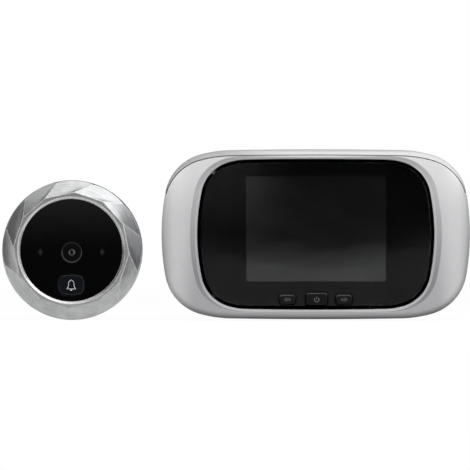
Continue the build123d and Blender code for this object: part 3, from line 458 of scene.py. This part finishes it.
def disc_finish():
    """Gloss black acrylic with faint lozenges in front of the infrared lamps, a painted glint of
    the lamps behind.
    """
    half_width, half_height = 1.5 * MM, 2.3 * MM
    below_lamps, inside_lamps = 0.8 * MM, 1.8 * MM
    material, tree, shader, place = new_finish("disc_gloss")
    low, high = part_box("infrared_leds")
    middle_z = (low.z + high.z) / 2 - below_lamps
    half_spread = (high.x - low.x) / 2 - inside_lamps
    # Painted glint: lighter lozenges coloured in front of the lamps that sit behind the disc.
    x, _, z = apart(tree, place)
    from_window = minus(tree, absolute(tree, minus(tree, x, RING_CENTRE.x)), half_spread)
    wide = arithmetic(tree, "DIVIDE", absolute(tree, from_window), half_width)
    tall = arithmetic(tree, "DIVIDE", absolute(tree, minus(tree, z, middle_z)), half_height)
    painted_lamp_glint = fade(tree, plus(tree, wide, tall), 1.0, 0.2)
    speckle = use(tree, GRAIN, Place=place, Per_metre=9000.0, Depth=2e-7,
                  Light=colour(0.0016), Dark=colour(0.001))
    tone = blend_colour(tree, painted_lamp_glint, speckle["Colour"], colour((0.024, 0.022, 0.023)))
    gloss = use(tree, HANDLING, Place=place, Per_metre=70.0, Polished=0.02, Smeared=0.05)
    edges = use(tree, EDGE_WEAR_AND_HIGHLIGHT, Place=place, Radius=1.5e-4, Amount=0.1, Colour=tone,
                Worn=colour(0.03))
    feed_named(tree, shader, Base_Color=edges["Colour"], Roughness=gloss["Roughness"],
               Normal=edges["Rounded"], IOR=1.45)
    return material


def lens_trim_finish():
    """Dark turned ring with a bare rim that a painted highlight makes brighter low down."""
    rim_inner, rim_outer = (3.8 * MM, 3.9 * MM), (4.26 * MM, 4.18 * MM)
    dim_height, bright_height = LENS_CENTRE.z + 1.6 * MM, LENS_CENTRE.z - 0.6 * MM
    material, tree, shader, place = new_finish("lens_trim")
    turned = use(tree, ROUND_BRUSHING, Place=place, Centre=LENS_CENTRE, Lines_per_metre=9000.0,
                 Depth=4e-6)
    rim = times(tree, fade(tree, turned["Radius"], *rim_inner),
                fade(tree, turned["Radius"], *rim_outer))
    bare = blend_colour(tree, turned["Streak"], colour((0.10, 0.10, 0.105)),
                        colour((0.2, 0.2, 0.205)))
    # Painted highlight: the bare rim is coloured brighter low down and dimmer high up.
    painted_glint = fade(tree, apart(tree, place)[2], dim_height, bright_height, 0.3, 0.9)
    feed_named(tree, shader,
               Base_Color=blend_colour(tree, times(tree, rim, painted_glint), colour(0.002), bare),
               Roughness=fade(tree, turned["Radius"], 3.75 * MM, 3.85 * MM, 0.7, 0.3),
               Metallic=rim, Normal=relief(tree, turned["Height"]))
    shader.inputs["Specular IOR Level"].default_value = 0.1
    return material


def lens_glass_finish():
    """Coated front element: a dark pupil with a faint bluish painted highlight at its sides."""
    pupil_edge, rim_edge = (0.55 * MM, 0.95 * MM), (1.15 * MM, 1.35 * MM)
    bloom_direction = (1.0, 0.0, 0.1)
    material, tree, shader, place = new_finish("lens_glass")
    turned = use(tree, ROUND_BRUSHING, Place=place, Centre=LENS_CENTRE, Lines_per_metre=900.0,
                 Depth=0.0)
    pupil = fade(tree, turned["Radius"], *pupil_edge)
    rim = fade(tree, turned["Radius"], *rim_edge)
    # Painted highlight: the coating's bluish sheen is coloured in at the pupil's left and right.
    outward = level_direction(tree, LENS_CENTRE, place)
    sideways = absolute(tree, agreement(tree, outward, bloom_direction))
    bloom = fade(tree, sideways, 0.45, 0.95, 0.12, 1.0)
    pupil_and_painted_sheen = blend_colour(tree, times(tree, pupil, bloom), colour(0.002),
                          colour((0.12, 0.125, 0.13)))
    spots = noise(tree, place, 2500.0)
    feed_named(tree, shader, Base_Color=blend_colour(tree, rim, pupil_and_painted_sheen, colour(0.012)),
               Roughness=fade(tree, spots, 0.3, 0.7, 0.03, 0.07), IOR=1.8)
    return material


def board_finish():
    """Green circuit board with its tracks under the mask."""
    track_height, speckle_share = 2e-5, 0.25
    material, tree, shader, place = new_finish("board_green")
    to_front = {"Vector": place, "Rotation": (math.radians(90), 0, 0)}
    turned = add(tree, "Mapping", to_front).outputs[0]
    inputs = {"Vector": turned, "Scale": 420.0, "Mortar Size": 0.035,
              "Color1": colour((0.006, 0.04, 0.017)), "Color2": colour((0.008, 0.05, 0.021)),
              "Mortar": colour((0.015, 0.08, 0.033))}
    tracks = add(tree, "TexBrick", inputs).outputs
    speckle = times(tree, noise(tree, place, 7000.0), speckle_share)
    gloss = use(tree, HANDLING, Place=place, Per_metre=90.0, Polished=0.25, Smeared=0.4)
    feed_named(tree, shader, Roughness=gloss["Roughness"],
               Base_Color=blend_colour(tree, speckle, tracks["Color"], colour((0.02, 0.07, 0.03))),
               Normal=relief(tree, times(tree, tracks["Fac"], track_height)))
    return material


def thread_finish():
    """Nickel-plated brass, turned, with darker, brownish roots between the thread's crests."""
    crest_edge, root_radius = 5.85 * MM, 5.62 * MM
    material, tree, shader, place = new_finish("turned_brass")
    turned = use(tree, ROUND_BRUSHING, Place=place, Centre=RING_CENTRE, Lines_per_metre=6000.0,
                 Depth=3e-6)
    root = fade(tree, turned["Radius"], crest_edge, root_radius)
    cloudy = noise(tree, place, 500.0, detail=3.0)
    plated = blend_colour(tree, cloudy, colour((0.62, 0.58, 0.47)), colour((0.72, 0.69, 0.6)))
    tone = blend_colour(tree, times(tree, root, 0.55), plated, colour((0.2, 0.17, 0.12)))
    edges = use(tree, EDGE_WEAR_AND_HIGHLIGHT, Place=place, Radius=1.2e-4, Amount=0.4, Colour=tone,
                Worn=colour((0.85, 0.82, 0.74)))
    feed_named(tree, shader, Base_Color=edges["Colour"],
               Roughness=fade(tree, cloudy, 0.3, 0.7, 0.22, 0.38),
               Normal=relief(tree, turned["Height"], edges["Rounded"]), Metallic=1.0)
    return material


def silver_paint_finish(name, hooded):
    """Silver paint with fine flake, and painted shade and light where the photograph's housing is.

    Painted shade makes it darker on the slope round the panel, on the cheeks' sides and under the
    lower edge, and a hooded one at its top and left end. High on the cheeks painted light makes it
    lighter.
    """
    slope_back, slope_front = -20.0 * MM, -20.4 * MM
    strip_back, strip_front = -21.1 * MM, -21.25 * MM
    crest_x = 58.0 * MM
    material, tree, shader, place = new_finish(name)
    low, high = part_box("front_panel")
    flake = use(tree, GRAIN, Place=place, Per_metre=9000.0, Depth=3e-6,
                Light=colour((0.64, 0.64, 0.65)), Dark=colour((0.60, 0.60, 0.61)))
    across, forward, upward = apart(tree, place)
    # Painted shade: the slope round the panel is coloured darker where it turns inward, at the
    # front.
    inward = level_direction(tree, place, (low + high) / 2)
    tilt = agreement(tree, rounded_normal(tree, 1.2 * MM), inward)
    ahead = fade(tree, forward, slope_back, slope_front)
    low_strip = fade(tree, forward, strip_back, strip_front, 0.4, 1.0)
    slope = times(tree, fade(tree, tilt, 0.12, 0.5), ahead, low_strip)

    # Painted shade: the cheeks are coloured darker off their crest, as a rounded cheek would be
    # shaded.
    off_crest = minus(tree, absolute(tree, across), crest_x)
    towards_panel = fade(tree, off_crest, -0.5 * MM, -9 * MM, 0.0, 0.45)
    towards_side = fade(tree, off_crest, 0.5 * MM, 5.5 * MM, 0.0, 0.65)
    cheek = times(tree, largest(tree, towards_panel, towards_side), ahead)
    # Painted shade: the underside of the lower edge is coloured darker at the front.
    under = times(tree, fade(tree, upward, -33.0 * MM, -34.9 * MM, 0.0, 0.95),
                  fade(tree, forward, -15.0 * MM, -19.0 * MM))
    shade = largest(tree, slope, cheek, under)

    front = fade(tree, forward, -12.0 * MM, -17.0 * MM)
    # Painted light: the front is coloured lighter high up, as if lit from above; less on the hooded
    # shell.
    lighter = fade(tree, upward, 7 * MM, 29 * MM, 0.0, 0.2 if hooded else 0.8)
    painted_light_tone = blend_colour(tree, times(tree, lighter, front), flake["Colour"], colour(0.8))
    # Painted shade that is darker low down and paler high up, as light from above falls.
    slope_tone = blend_colour(tree, fade(tree, upward, -31 * MM, 30 * MM),
                              colour((0.22, 0.22, 0.23)), colour((0.55, 0.55, 0.56)))
    tone = blend_colour(tree, shade, painted_light_tone, slope_tone)
    if hooded:
        # Painted shade: the hooded shell is coloured darker at its top and its left end, at the
        # front.
        top = fade(tree, upward, 33.2 * MM, 35.0 * MM, 0.0, 0.7)
        left_end = fade(tree, across, -8 * MM, -42 * MM, 0.0, 0.85)
        hood = times(tree, largest(tree, top, left_end), front)
        tone = blend_colour(tree, hood, tone, colour(0.36))

    edges = use(tree, EDGE_WEAR_AND_HIGHLIGHT, Place=place, Radius=2e-4, Amount=0.25, Colour=tone,
                Worn=colour(0.75))
    gloss = use(tree, HANDLING, Place=place, Per_metre=40.0, Polished=0.36, Smeared=0.42)
    feed_named(tree, shader, Base_Color=edges["Colour"], Roughness=gloss["Roughness"],
               Normal=relief(tree, flake["Height"], edges["Rounded"]), Metallic=0.1)
    shader.inputs["Coat Weight"].default_value = 0.08
    shader.inputs["Coat Roughness"].default_value = 0.25
    return material


FINISHES = {
    "silver_shell": silver_paint_finish("silver_paint", hooded=False),
    "clear_panel": clear_panel_finish(),
    "black_film": worn_surface(
        "black_film", light=0.0016, dark=0.001, polished=0.03, smeared=0.05, depth=0.0, wear=0.0,
        IOR=1.39),
    "black_gloss": button_cap_finish(),
    "bell_black": worn_surface(
        "bell_cap", light=(0.007, 0.008, 0.0105), dark=(0.005, 0.006, 0.008), polished=0.06,
        smeared=0.12, depth=5e-7, edge_radius=2.5e-4, worn=(0.012, 0.013, 0.016), wear=0.5,
        IOR=1.4),
    "display_glass": display_finish(),
    "tinned_steel": metal_surface(
        "tinned_steel", light=0.62, dark=0.5, polished=0.28, smeared=0.42, grain=4000.0,
        edge_radius=8e-5),
    "light_guide": worn_surface(
        "milky_guide", light=(0.86, 0.87, 0.9), dark=(0.78, 0.79, 0.82), polished=0.35,
        smeared=0.5, depth=2e-6, Subsurface_Weight=0.2, Subsurface_Scale=0.0005),
    "board_green": board_finish(),
    "chip_black": worn_surface(
        "chip_black", light=0.035, dark=0.022, polished=0.5, smeared=0.65, grain=9000.0,
        depth=8e-6, worn=0.08),
    "black_plastic": worn_surface(
        "black_plastic", light=0.028, dark=0.018, polished=0.42, smeared=0.58, grain=5000.0,
        depth=1.2e-5, worn=0.07, wear=0.5),
    "white_plastic": worn_surface(
        "nylon", light=(0.8, 0.77, 0.68), dark=(0.72, 0.69, 0.6), polished=0.4, smeared=0.55,
        depth=6e-6),
    "screw_steel": metal_surface(
        "plated_steel", light=(0.6, 0.6, 0.58), dark=(0.46, 0.46, 0.45), polished=0.25,
        smeared=0.42, grain=5000.0, edge_radius=1.2e-4, worn=0.85, wear=0.6),
    "cell_jacket": worn_surface(
        "cell_jacket", light=(0.1, 0.22, 0.13), dark=(0.08, 0.18, 0.11), polished=0.22,
        smeared=0.34, depth=3e-6, worn=(0.5, 0.5, 0.48)),
    "bracket_steel": metal_surface(
        "zinc_sheet", light=(0.6, 0.61, 0.63), dark=(0.42, 0.43, 0.45), polished=0.3,
        smeared=0.5, grain=1600.0, depth=6e-6, smears=110.0, worn=0.85, wear=0.7),
    "cast_silver": cast_ring_finish(),
    "tube_brass": thread_finish(),
    "lens_grey": lens_trim_finish(),
    "lens_glass": lens_glass_finish(),
    "lamp_lens": worn_surface(
        "smoked_epoxy", light=(0.05, 0.045, 0.055), dark=(0.03, 0.028, 0.035), polished=0.08,
        smeared=0.15, depth=1e-6),
    "pad_foam": worn_surface(
        "foam_tape", light=0.05, dark=0.02, polished=0.75, smeared=0.9, grain=3500.0, depth=6e-5,
        edge_radius=2e-4, worn=0.08),
    "speaker_cone": worn_surface(
        "paper_cone", light=0.05, dark=0.03, polished=0.6, smeared=0.8, grain=4500.0, depth=2e-5),
    "sensor_dark": worn_surface(
        "sensor_glass", light=(0.06, 0.03, 0.08), dark=(0.03, 0.02, 0.04), polished=0.05,
        smeared=0.1, depth=5e-7),
}
NODE_FINISHES = {
    "front_disc": disc_finish(),
    "rear_shell": silver_paint_finish("hood_paint", hooded=True),
}
BELL_PRINT = print_finish("bell_print", (0.85, 0.87, 0.9), (0.74, 0.76, 0.8))
BUTTON_PRINT = print_finish("button_print", 0.14, 0.1)
SLIDE_PRINT = print_finish("slide_print", 0.16, 0.12)


def dress_cad_nodes():
    """Every CAD node takes its own finish, or the one of its slot in the record."""
    for part in frame["record"]["subparts"]:
        piece = frame["nodes"][part["node"]]
        finish = NODE_FINISHES.get(part["node"], FINISHES[part["material_slot"]])
        for slot in piece.material_slots:
            slot.material = finish


# Pieces made here

def new_piece(name, points, faces, finish, body):
    """Mesh piece with its finish, riding on a body."""
    mesh = bpy.data.meshes.new(name)
    mesh.from_pydata(points, [], faces)
    mesh.validate()
    mesh.materials.append(finish)
    piece = put_in_scene(name, mesh)
    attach(piece, body)
    return piece


def smooth(piece):
    """Shades a piece smooth apart from its sharp edges."""
    piece.data.shade_smooth()
    piece.data.set_sharp_from_angle(angle=SHARP_ANGLE)


def clean(piece, distance):
    """Joins points that lie on each other and makes the faces look outward."""
    shape = bmesh.new()
    shape.from_mesh(piece.data)
    bmesh.ops.remove_doubles(shape, verts=shape.verts, dist=distance)
    loose = [v for v in shape.verts if not v.link_faces]
    bmesh.ops.delete(shape, geom=loose, context="VERTS")
    bmesh.ops.recalc_face_normals(shape, faces=shape.faces)
    shape.to_mesh(piece.data)
    shape.free()


def turned_point(radius, y, angle, centre):
    """Point at an angle round an axis along Y; radius and y are in mm."""
    x = centre.x + radius * MM * math.cos(angle)
    z = centre.z + radius * MM * math.sin(angle)
    return x, y * MM, z


def turned_shape(profile, centre, columns):
    """Points and faces of a closed profile of (radius, y) in mm, turned round an axis along Y."""
    rows = len(profile)
    points = [turned_point(radius, y, FULL_TURN * column / columns, centre)
              for radius, y in profile for column in range(columns)]
    faces = []
    for row in range(rows):
        here, above = row * columns, (row + 1) % rows * columns
        for column in range(columns):
            after = (column + 1) % columns
            faces.append((here + column, here + after, above + after, above + column))
    return points, faces


def black_film():
    """Film behind the panel, with its front a hair off the panel's back so that they don't meet."""
    node = "panel_mask"
    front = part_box(node)[0].y
    front_depth, gap = 0.01 * MM, 0.03 * MM
    mesh = frame["nodes"][node].data.copy()
    for point in mesh.vertices:
        if point.co.y < front + front_depth:
            point.co.y = front + gap
    film = put_in_scene("black_film", mesh)
    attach(film, "indoor_unit")
    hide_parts(node)


def lens_trim():
    """Ring round the lens: a rounded bright rim, and steps that go down to the glass."""
    low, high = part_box("lens_ring")
    front, back = low.y / MM, high.y / MM
    outer = (high.x - low.x) / 2 / MM
    rim = [(0.0, 0.12), (0.04, 0.03), (0.14, 0.0), (0.34, 0.0), (0.43, 0.04), (0.47, 0.12)]
    steps = [(3.78, 0.22), (3.3, 0.24), (3.26, 0.38), (2.8, 0.40), (2.76, 0.54), (2.35, 0.56),
             (2.31, 0.68), (1.95, 0.70), (1.91, 0.78), (1.56, 0.80)]
    bore = steps[-1][0]
    profile = [(outer, back), *((outer - inset, front + depth) for inset, depth in rim),
               *((radius, front + depth) for radius, depth in steps), (bore, back)]
    points, faces = turned_shape(profile, LENS_CENTRE, columns=96)
    ring = new_piece("lens_trim", points, faces, FINISHES["lens_grey"], "fixed_side")
    smooth(ring)
    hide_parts("lens_ring")


def thread_run(start, end, crest, root, pitch, columns):
    """Points and faces of a stretch of thread on the tube, from one y to another in mm."""
    profile = ((0.0, root), (0.2, crest), (0.5, crest), (0.7, root))
    turns = int((end - start) / pitch) + 3
    points = []
    for turn in range(turns):
        for share, radius in profile:
            for column in range(columns):
                y = start + pitch * (turn - 1 + share + column / columns)
                y = min(max(y, start), end)
                points.append(turned_point(radius, y, FULL_TURN * column / columns, RING_CENTRE))
    rows_a_turn = len(profile)
    faces = []
    for row in range(turns * rows_a_turn - 1 - rows_a_turn):
        for column in range(columns):
            wraps = column + 1 == columns
            after, lift = (0, rows_a_turn) if wraps else (column + 1, 0)
            here = row * columns + column
            there = (row + lift) * columns + after
            faces.append((here, there, there + columns, here + columns))
    return points, faces


def threaded_tube():
    """Mounting tube with its outside thread, in place of the plain tube."""
    low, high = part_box("mounting_tube")
    flange, back = low.y / MM, high.y / MM
    flange_end, flange_radius = flange + 1.4, 9.0
    root, crest, bore, pitch = 5.62, 6.0, 4.2, 1.0
    outer_chamfer, bore_chamfer = 0.15, 0.25
    groove_low, groove_high = 9.55, 10.35
    thread_start, thread_end = 0.4, back - 0.1
    thread_sink = 0.02
    columns = 64
    profile = [
        (bore, flange), (flange_radius, flange), (flange_radius, flange_end), (root, flange_end),
        (root, back - outer_chamfer), (root - outer_chamfer, back), (bore + bore_chamfer, back),
        (bore, back - bore_chamfer)]
    points, faces = turned_shape(profile, RING_CENTRE, columns)
    for start, end in ((thread_start, groove_low), (groove_high, thread_end)):
        more_points, more_faces = thread_run(start, end, crest, root - thread_sink, pitch, columns)
        base = len(points)
        points += more_points
        faces += [tuple(base + i for i in face) for face in more_faces]
    tube = new_piece("threaded_tube", points, faces, FINISHES["tube_brass"],
                     "fixed_side")
    clean(tube, distance=1e-6)
    smooth(tube)
    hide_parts("mounting_tube")


# Printed symbols, drawn in mm from the middle of their node's face

def side_step(before, here, after, half_width):
    """Offset from a point of a line to its edge, mitred at a corner."""
    sharpest = 0.4
    arriving, leaving = here - before, after - here
    first = (arriving if arriving.length > 0 else leaving).normalized()
    second = leaving.normalized() if leaving.length > 0 else first
    forward = (first + second).normalized()
    normal = Vector((-forward.y, forward.x))
    straight = Vector((-first.y, first.x))
    return normal * half_width / max(normal.dot(straight), sharpest)


def ribbon(line, width, closed):
    """Left and right edge points of a flat line."""
    line = [Vector(p) for p in line]
    left, right = [], []
    for i, here in enumerate(line):
        before = line[i - 1] if closed or i > 0 else here
        after = line[(i + 1) % len(line)] if closed or i + 1 < len(line) else here
        step = side_step(before, here, after, width / 2)
        left.append(here + step)
        right.append(here - step)
    return left, right


def raised_line(line, width, closed):
    """Points (x, height, z) and faces of a thin raised line."""
    left, right = ribbon(line, width, closed)
    points = [(p.x, level, p.y) for level in (0.0, PRINT_THICKNESS) for p in left + right]
    n = len(line)
    faces = []
    for i in range(n if closed else n - 1):
        j = (i + 1) % n
        faces += [(2 * n + i, 2 * n + j, 3 * n + j, 3 * n + i), (i, n + i, n + j, j),
                  (i, j, 2 * n + j, 2 * n + i), (n + i, 3 * n + i, 3 * n + j, n + j)]
    if not closed:
        faces += [(i, 2 * n + i, 3 * n + i, n + i) for i in (0, n - 1)]
    return points, faces


def raised_shape(outline):
    """Points and faces of a thin raised filled shape."""
    n = len(outline)
    points = [(x, level, z) for level in (0.0, PRINT_THICKNESS) for x, z in outline]
    sides = [(i, (i + 1) % n, n + (i + 1) % n, n + i) for i in range(n)]
    return points, [tuple(range(n)), tuple(range(2 * n - 1, n - 1, -1)), *sides]


def arc(radius, start, end, steps, z=0.0):
    """Points along an arc, in degrees from +X towards +Z."""
    angles = [math.radians(start + (end - start) * i / steps) for i in range(steps + 1)]
    return [(radius * math.cos(a), z + radius * math.sin(a)) for a in angles]


def smooth_line(corners):
    """Corners of an open line cut twice into a soft curve, with its ends kept."""
    near, far = 0.75, 0.25
    for _ in range(2):
        cut = [corners[0]]
        for (x0, z0), (x1, z1) in zip(corners, corners[1:]):
            cut += [(near * x0 + far * x1, near * z0 + far * z1),
                    (far * x0 + near * x1, far * z0 + near * z1)]
        corners = [*cut, corners[-1]]
    return corners


def symbol(name, shapes, node, offset, finish, behind=False):
    """Printed symbol on a node's front or back, and on the body of the same name."""
    sink = 0.01
    low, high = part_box(node)
    middle = (low + high) / 2
    face_y, outward = (high.y, 1) if behind else (low.y, -1)
    points, faces = [], []
    for shape_points, shape_faces in shapes:
        base = len(points)
        for x, level, z in shape_points:
            y = face_y + outward * (level - sink) * MM
            points.append((middle.x + (x + offset[0]) * MM, y, middle.z + (z + offset[1]) * MM))
        faces += [tuple(base + i for i in face) for face in shape_faces]
    piece = new_piece(name, points, faces, finish, node)
    clean(piece, distance=1e-7)


def bell_symbol():
    """Outline of a bell with its clapper."""
    line = 0.23
    rim_corner, clapper_top = (1.78, -1.42), -1.7
    right_side = smooth_line([(0.0, 2.35), (0.2, 2.1), (0.9, 1.7), (1.15, 0.9), (1.15, -0.1),
                              (1.3, -0.75), (1.72, -1.2)])
    right_side += [rim_corner]
    left_side = [(-x, z) for x, z in reversed(right_side[1:])]
    bell = raised_line(right_side + left_side, line, closed=True)
    clapper = raised_shape(arc(0.5, 180, 360, 12, clapper_top))
    symbol("bell_symbol", [bell, clapper], "bell_button", (0.0, -0.2), BELL_PRINT)


def power_symbol():
    """Open ring with an upright bar."""
    line = 0.3
    ring = raised_line(arc(0.95, 135, 405, 24), line, closed=False)
    bar = raised_line([(0.0, 1.25), (0.0, 0.15)], line, closed=False)
    symbol("power_symbol", [ring, bar], "power_button", (0.0, -0.25), BUTTON_PRINT)


def arrow_symbols():
    """Outlined arrows on the two side buttons, and the arrow that shows how the cover slides."""
    line, cover_scale = 0.2, 2.2
    arrow = [(-1.3, 0.0), (-0.35, 0.62), (-0.35, 0.28), (1.15, 0.28), (1.15, -0.28),
             (-0.35, -0.28), (-0.35, -0.62)]
    for name, sign in (("left", 1), ("right", -1)):
        outline = raised_line([(sign * x, z) for x, z in arrow], line, closed=True)
        symbol(name + "_symbol", [outline], name + "_button", (0.0, 0.0), BUTTON_PRINT)
    filled = raised_shape([(-cover_scale * x, cover_scale * z) for x, z in arrow])
    symbol("slide_arrow", [filled], "battery_cover", (-1.5, 0.0), SLIDE_PRINT, behind=True)


# Floor and surroundings

def pale_floor():
    """Round white floor just under the two units; the camera and reflections see it white."""
    radius, middle_y, gap = 0.6, 0.35, 0.2 * MM
    camera_glow, mirrored_glow = 0.94, 0.56
    mesh = bpy.data.meshes.new("floor")
    shape = bmesh.new()
    bmesh.ops.create_circle(shape, cap_ends=True, segments=96, radius=radius)
    shape.to_mesh(mesh)
    shape.free()
    floor = put_in_scene("floor", mesh)
    floor.location = (PHOTO_MIDDLE_X, middle_y, cad_low.z - gap)
    material, tree, shader, place = new_finish("pale_floor")
    mottled = noise(tree, place, 30.0, detail=3.0)
    feed_named(tree, shader, Base_Color=blend_colour(tree, mottled, colour(0.1), colour(0.12)),
               Roughness=0.9)
    shader.inputs["Specular IOR Level"].default_value = 0.0
    straight, mirrored = ray_kinds(tree)
    seen = plus(tree, times(tree, straight, camera_glow), times(tree, mirrored, mirrored_glow))
    glow = add(tree, "Emission", {"Color": colour(1.0), "Strength": seen})
    both = add(tree, "AddShader", {0: shader.outputs[0], 1: glow.outputs[0]})
    out = next(n for n in tree.nodes if n.type == "OUTPUT_MATERIAL")
    feed(tree, out.inputs["Surface"], both.outputs[0])
    mesh.materials.append(material)


def mirrored_room(tree, x, y, z):
    """Level of the room that glossy and clear pieces show, by direction.

    It is darker to the left and in front. Straight in front is the part that the flat panel
    shows: dark above a soft horizon that sags like a smile, paler under it and in one corner.
    """
    overhead_x, overhead_z = 0.26, 0.966
    horizon_x, horizon_z, horizon_bend = 0.0244, 0.009, 3.64
    side = fade(tree, x, -0.45, 0.7, 0.13, 0.85)
    behind = fade(tree, y, -0.05, 0.15, 0.0, 0.22)
    towards_top = plus(tree, times(tree, x, overhead_x), times(tree, z, overhead_z))
    overhead = fade(tree, towards_top, 0.4, 0.9, 0.0, 0.75)
    far_back = fade(tree, y, 0.1, 0.6, 1.0, 0.25)
    around = times(tree, plus(tree, side, behind, overhead), far_back)

    from_middle = minus(tree, x, horizon_x)
    horizon = minus(tree, times(tree, from_middle, from_middle, horizon_bend), horizon_z)
    over_horizon = minus(tree, z, horizon)
    below = times(tree, fade(tree, over_horizon, 0.002, -0.002), fade(tree, x, -0.036, -0.02))
    corner = times(tree, fade(tree, x, 0.02, -0.006), fade(tree, z, -0.006, 0.022))
    glow = plus(tree, times(tree, below, 0.5), times(tree, corner, 0.38))
    ahead = plus(tree, fade(tree, over_horizon, 0.03, 0.0, 0.02, 0.03), glow)
    in_front = fade(tree, y, -0.955, -0.99)
    return plus(tree, times(tree, around, minus(tree, 1.0, in_front)), times(tree, ahead, in_front))


def studio_world():
    """White backdrop, the room that the pieces mirror, and soft light from above and the sides."""
    world = bpy.data.worlds.new("studio")
    bpy.context.scene.world = world
    world.use_nodes = True
    tree = world.node_tree
    x, y, z = apart(tree, add(tree, "TexCoord").outputs["Generated"])
    room = mirrored_room(tree, x, y, z)
    straight, mirrored = ray_kinds(tree)
    from_above = fade(tree, z, -0.3, 0.8, 0.03, 0.16)
    from_sides = fade(tree, absolute(tree, x), 0.6, 1.0, 0.0, 0.8)
    ambient = plus(tree, from_above, from_sides)
    plain = plus(tree, ambient, times(tree, mirrored, minus(tree, room, ambient)))
    strength = plus(tree, plain, times(tree, straight, minus(tree, 1.0, plain)))
    background = next(n for n in tree.nodes if n.type == "BACKGROUND")
    feed_named(tree, background, Color=colour(1.0), Strength=strength)


photo_camera()
studio_world()
pale_floor()
soft_lamp("key_lamp", place=(0.05, -0.25, 0.17), aim=(0.0, 0.0, 0.0), size=0.3, power=0.95)
soft_lamp("fill_lamp", place=(-0.9, -0.45, 0.2), aim=(-0.04, 0.0, 0.0), size=0.8, power=3.9)
soft_lamp("back_lamp", place=(-0.4, 1.2, -0.05), aim=(-0.04, 0.0, 0.0), size=1.0, power=7.0)
dress_cad_nodes()
black_film()
lens_trim()
threaded_tube()
bell_symbol()
power_symbol()
arrow_symbols()

bpy.context.scene.view_settings.view_transform = "Standard"
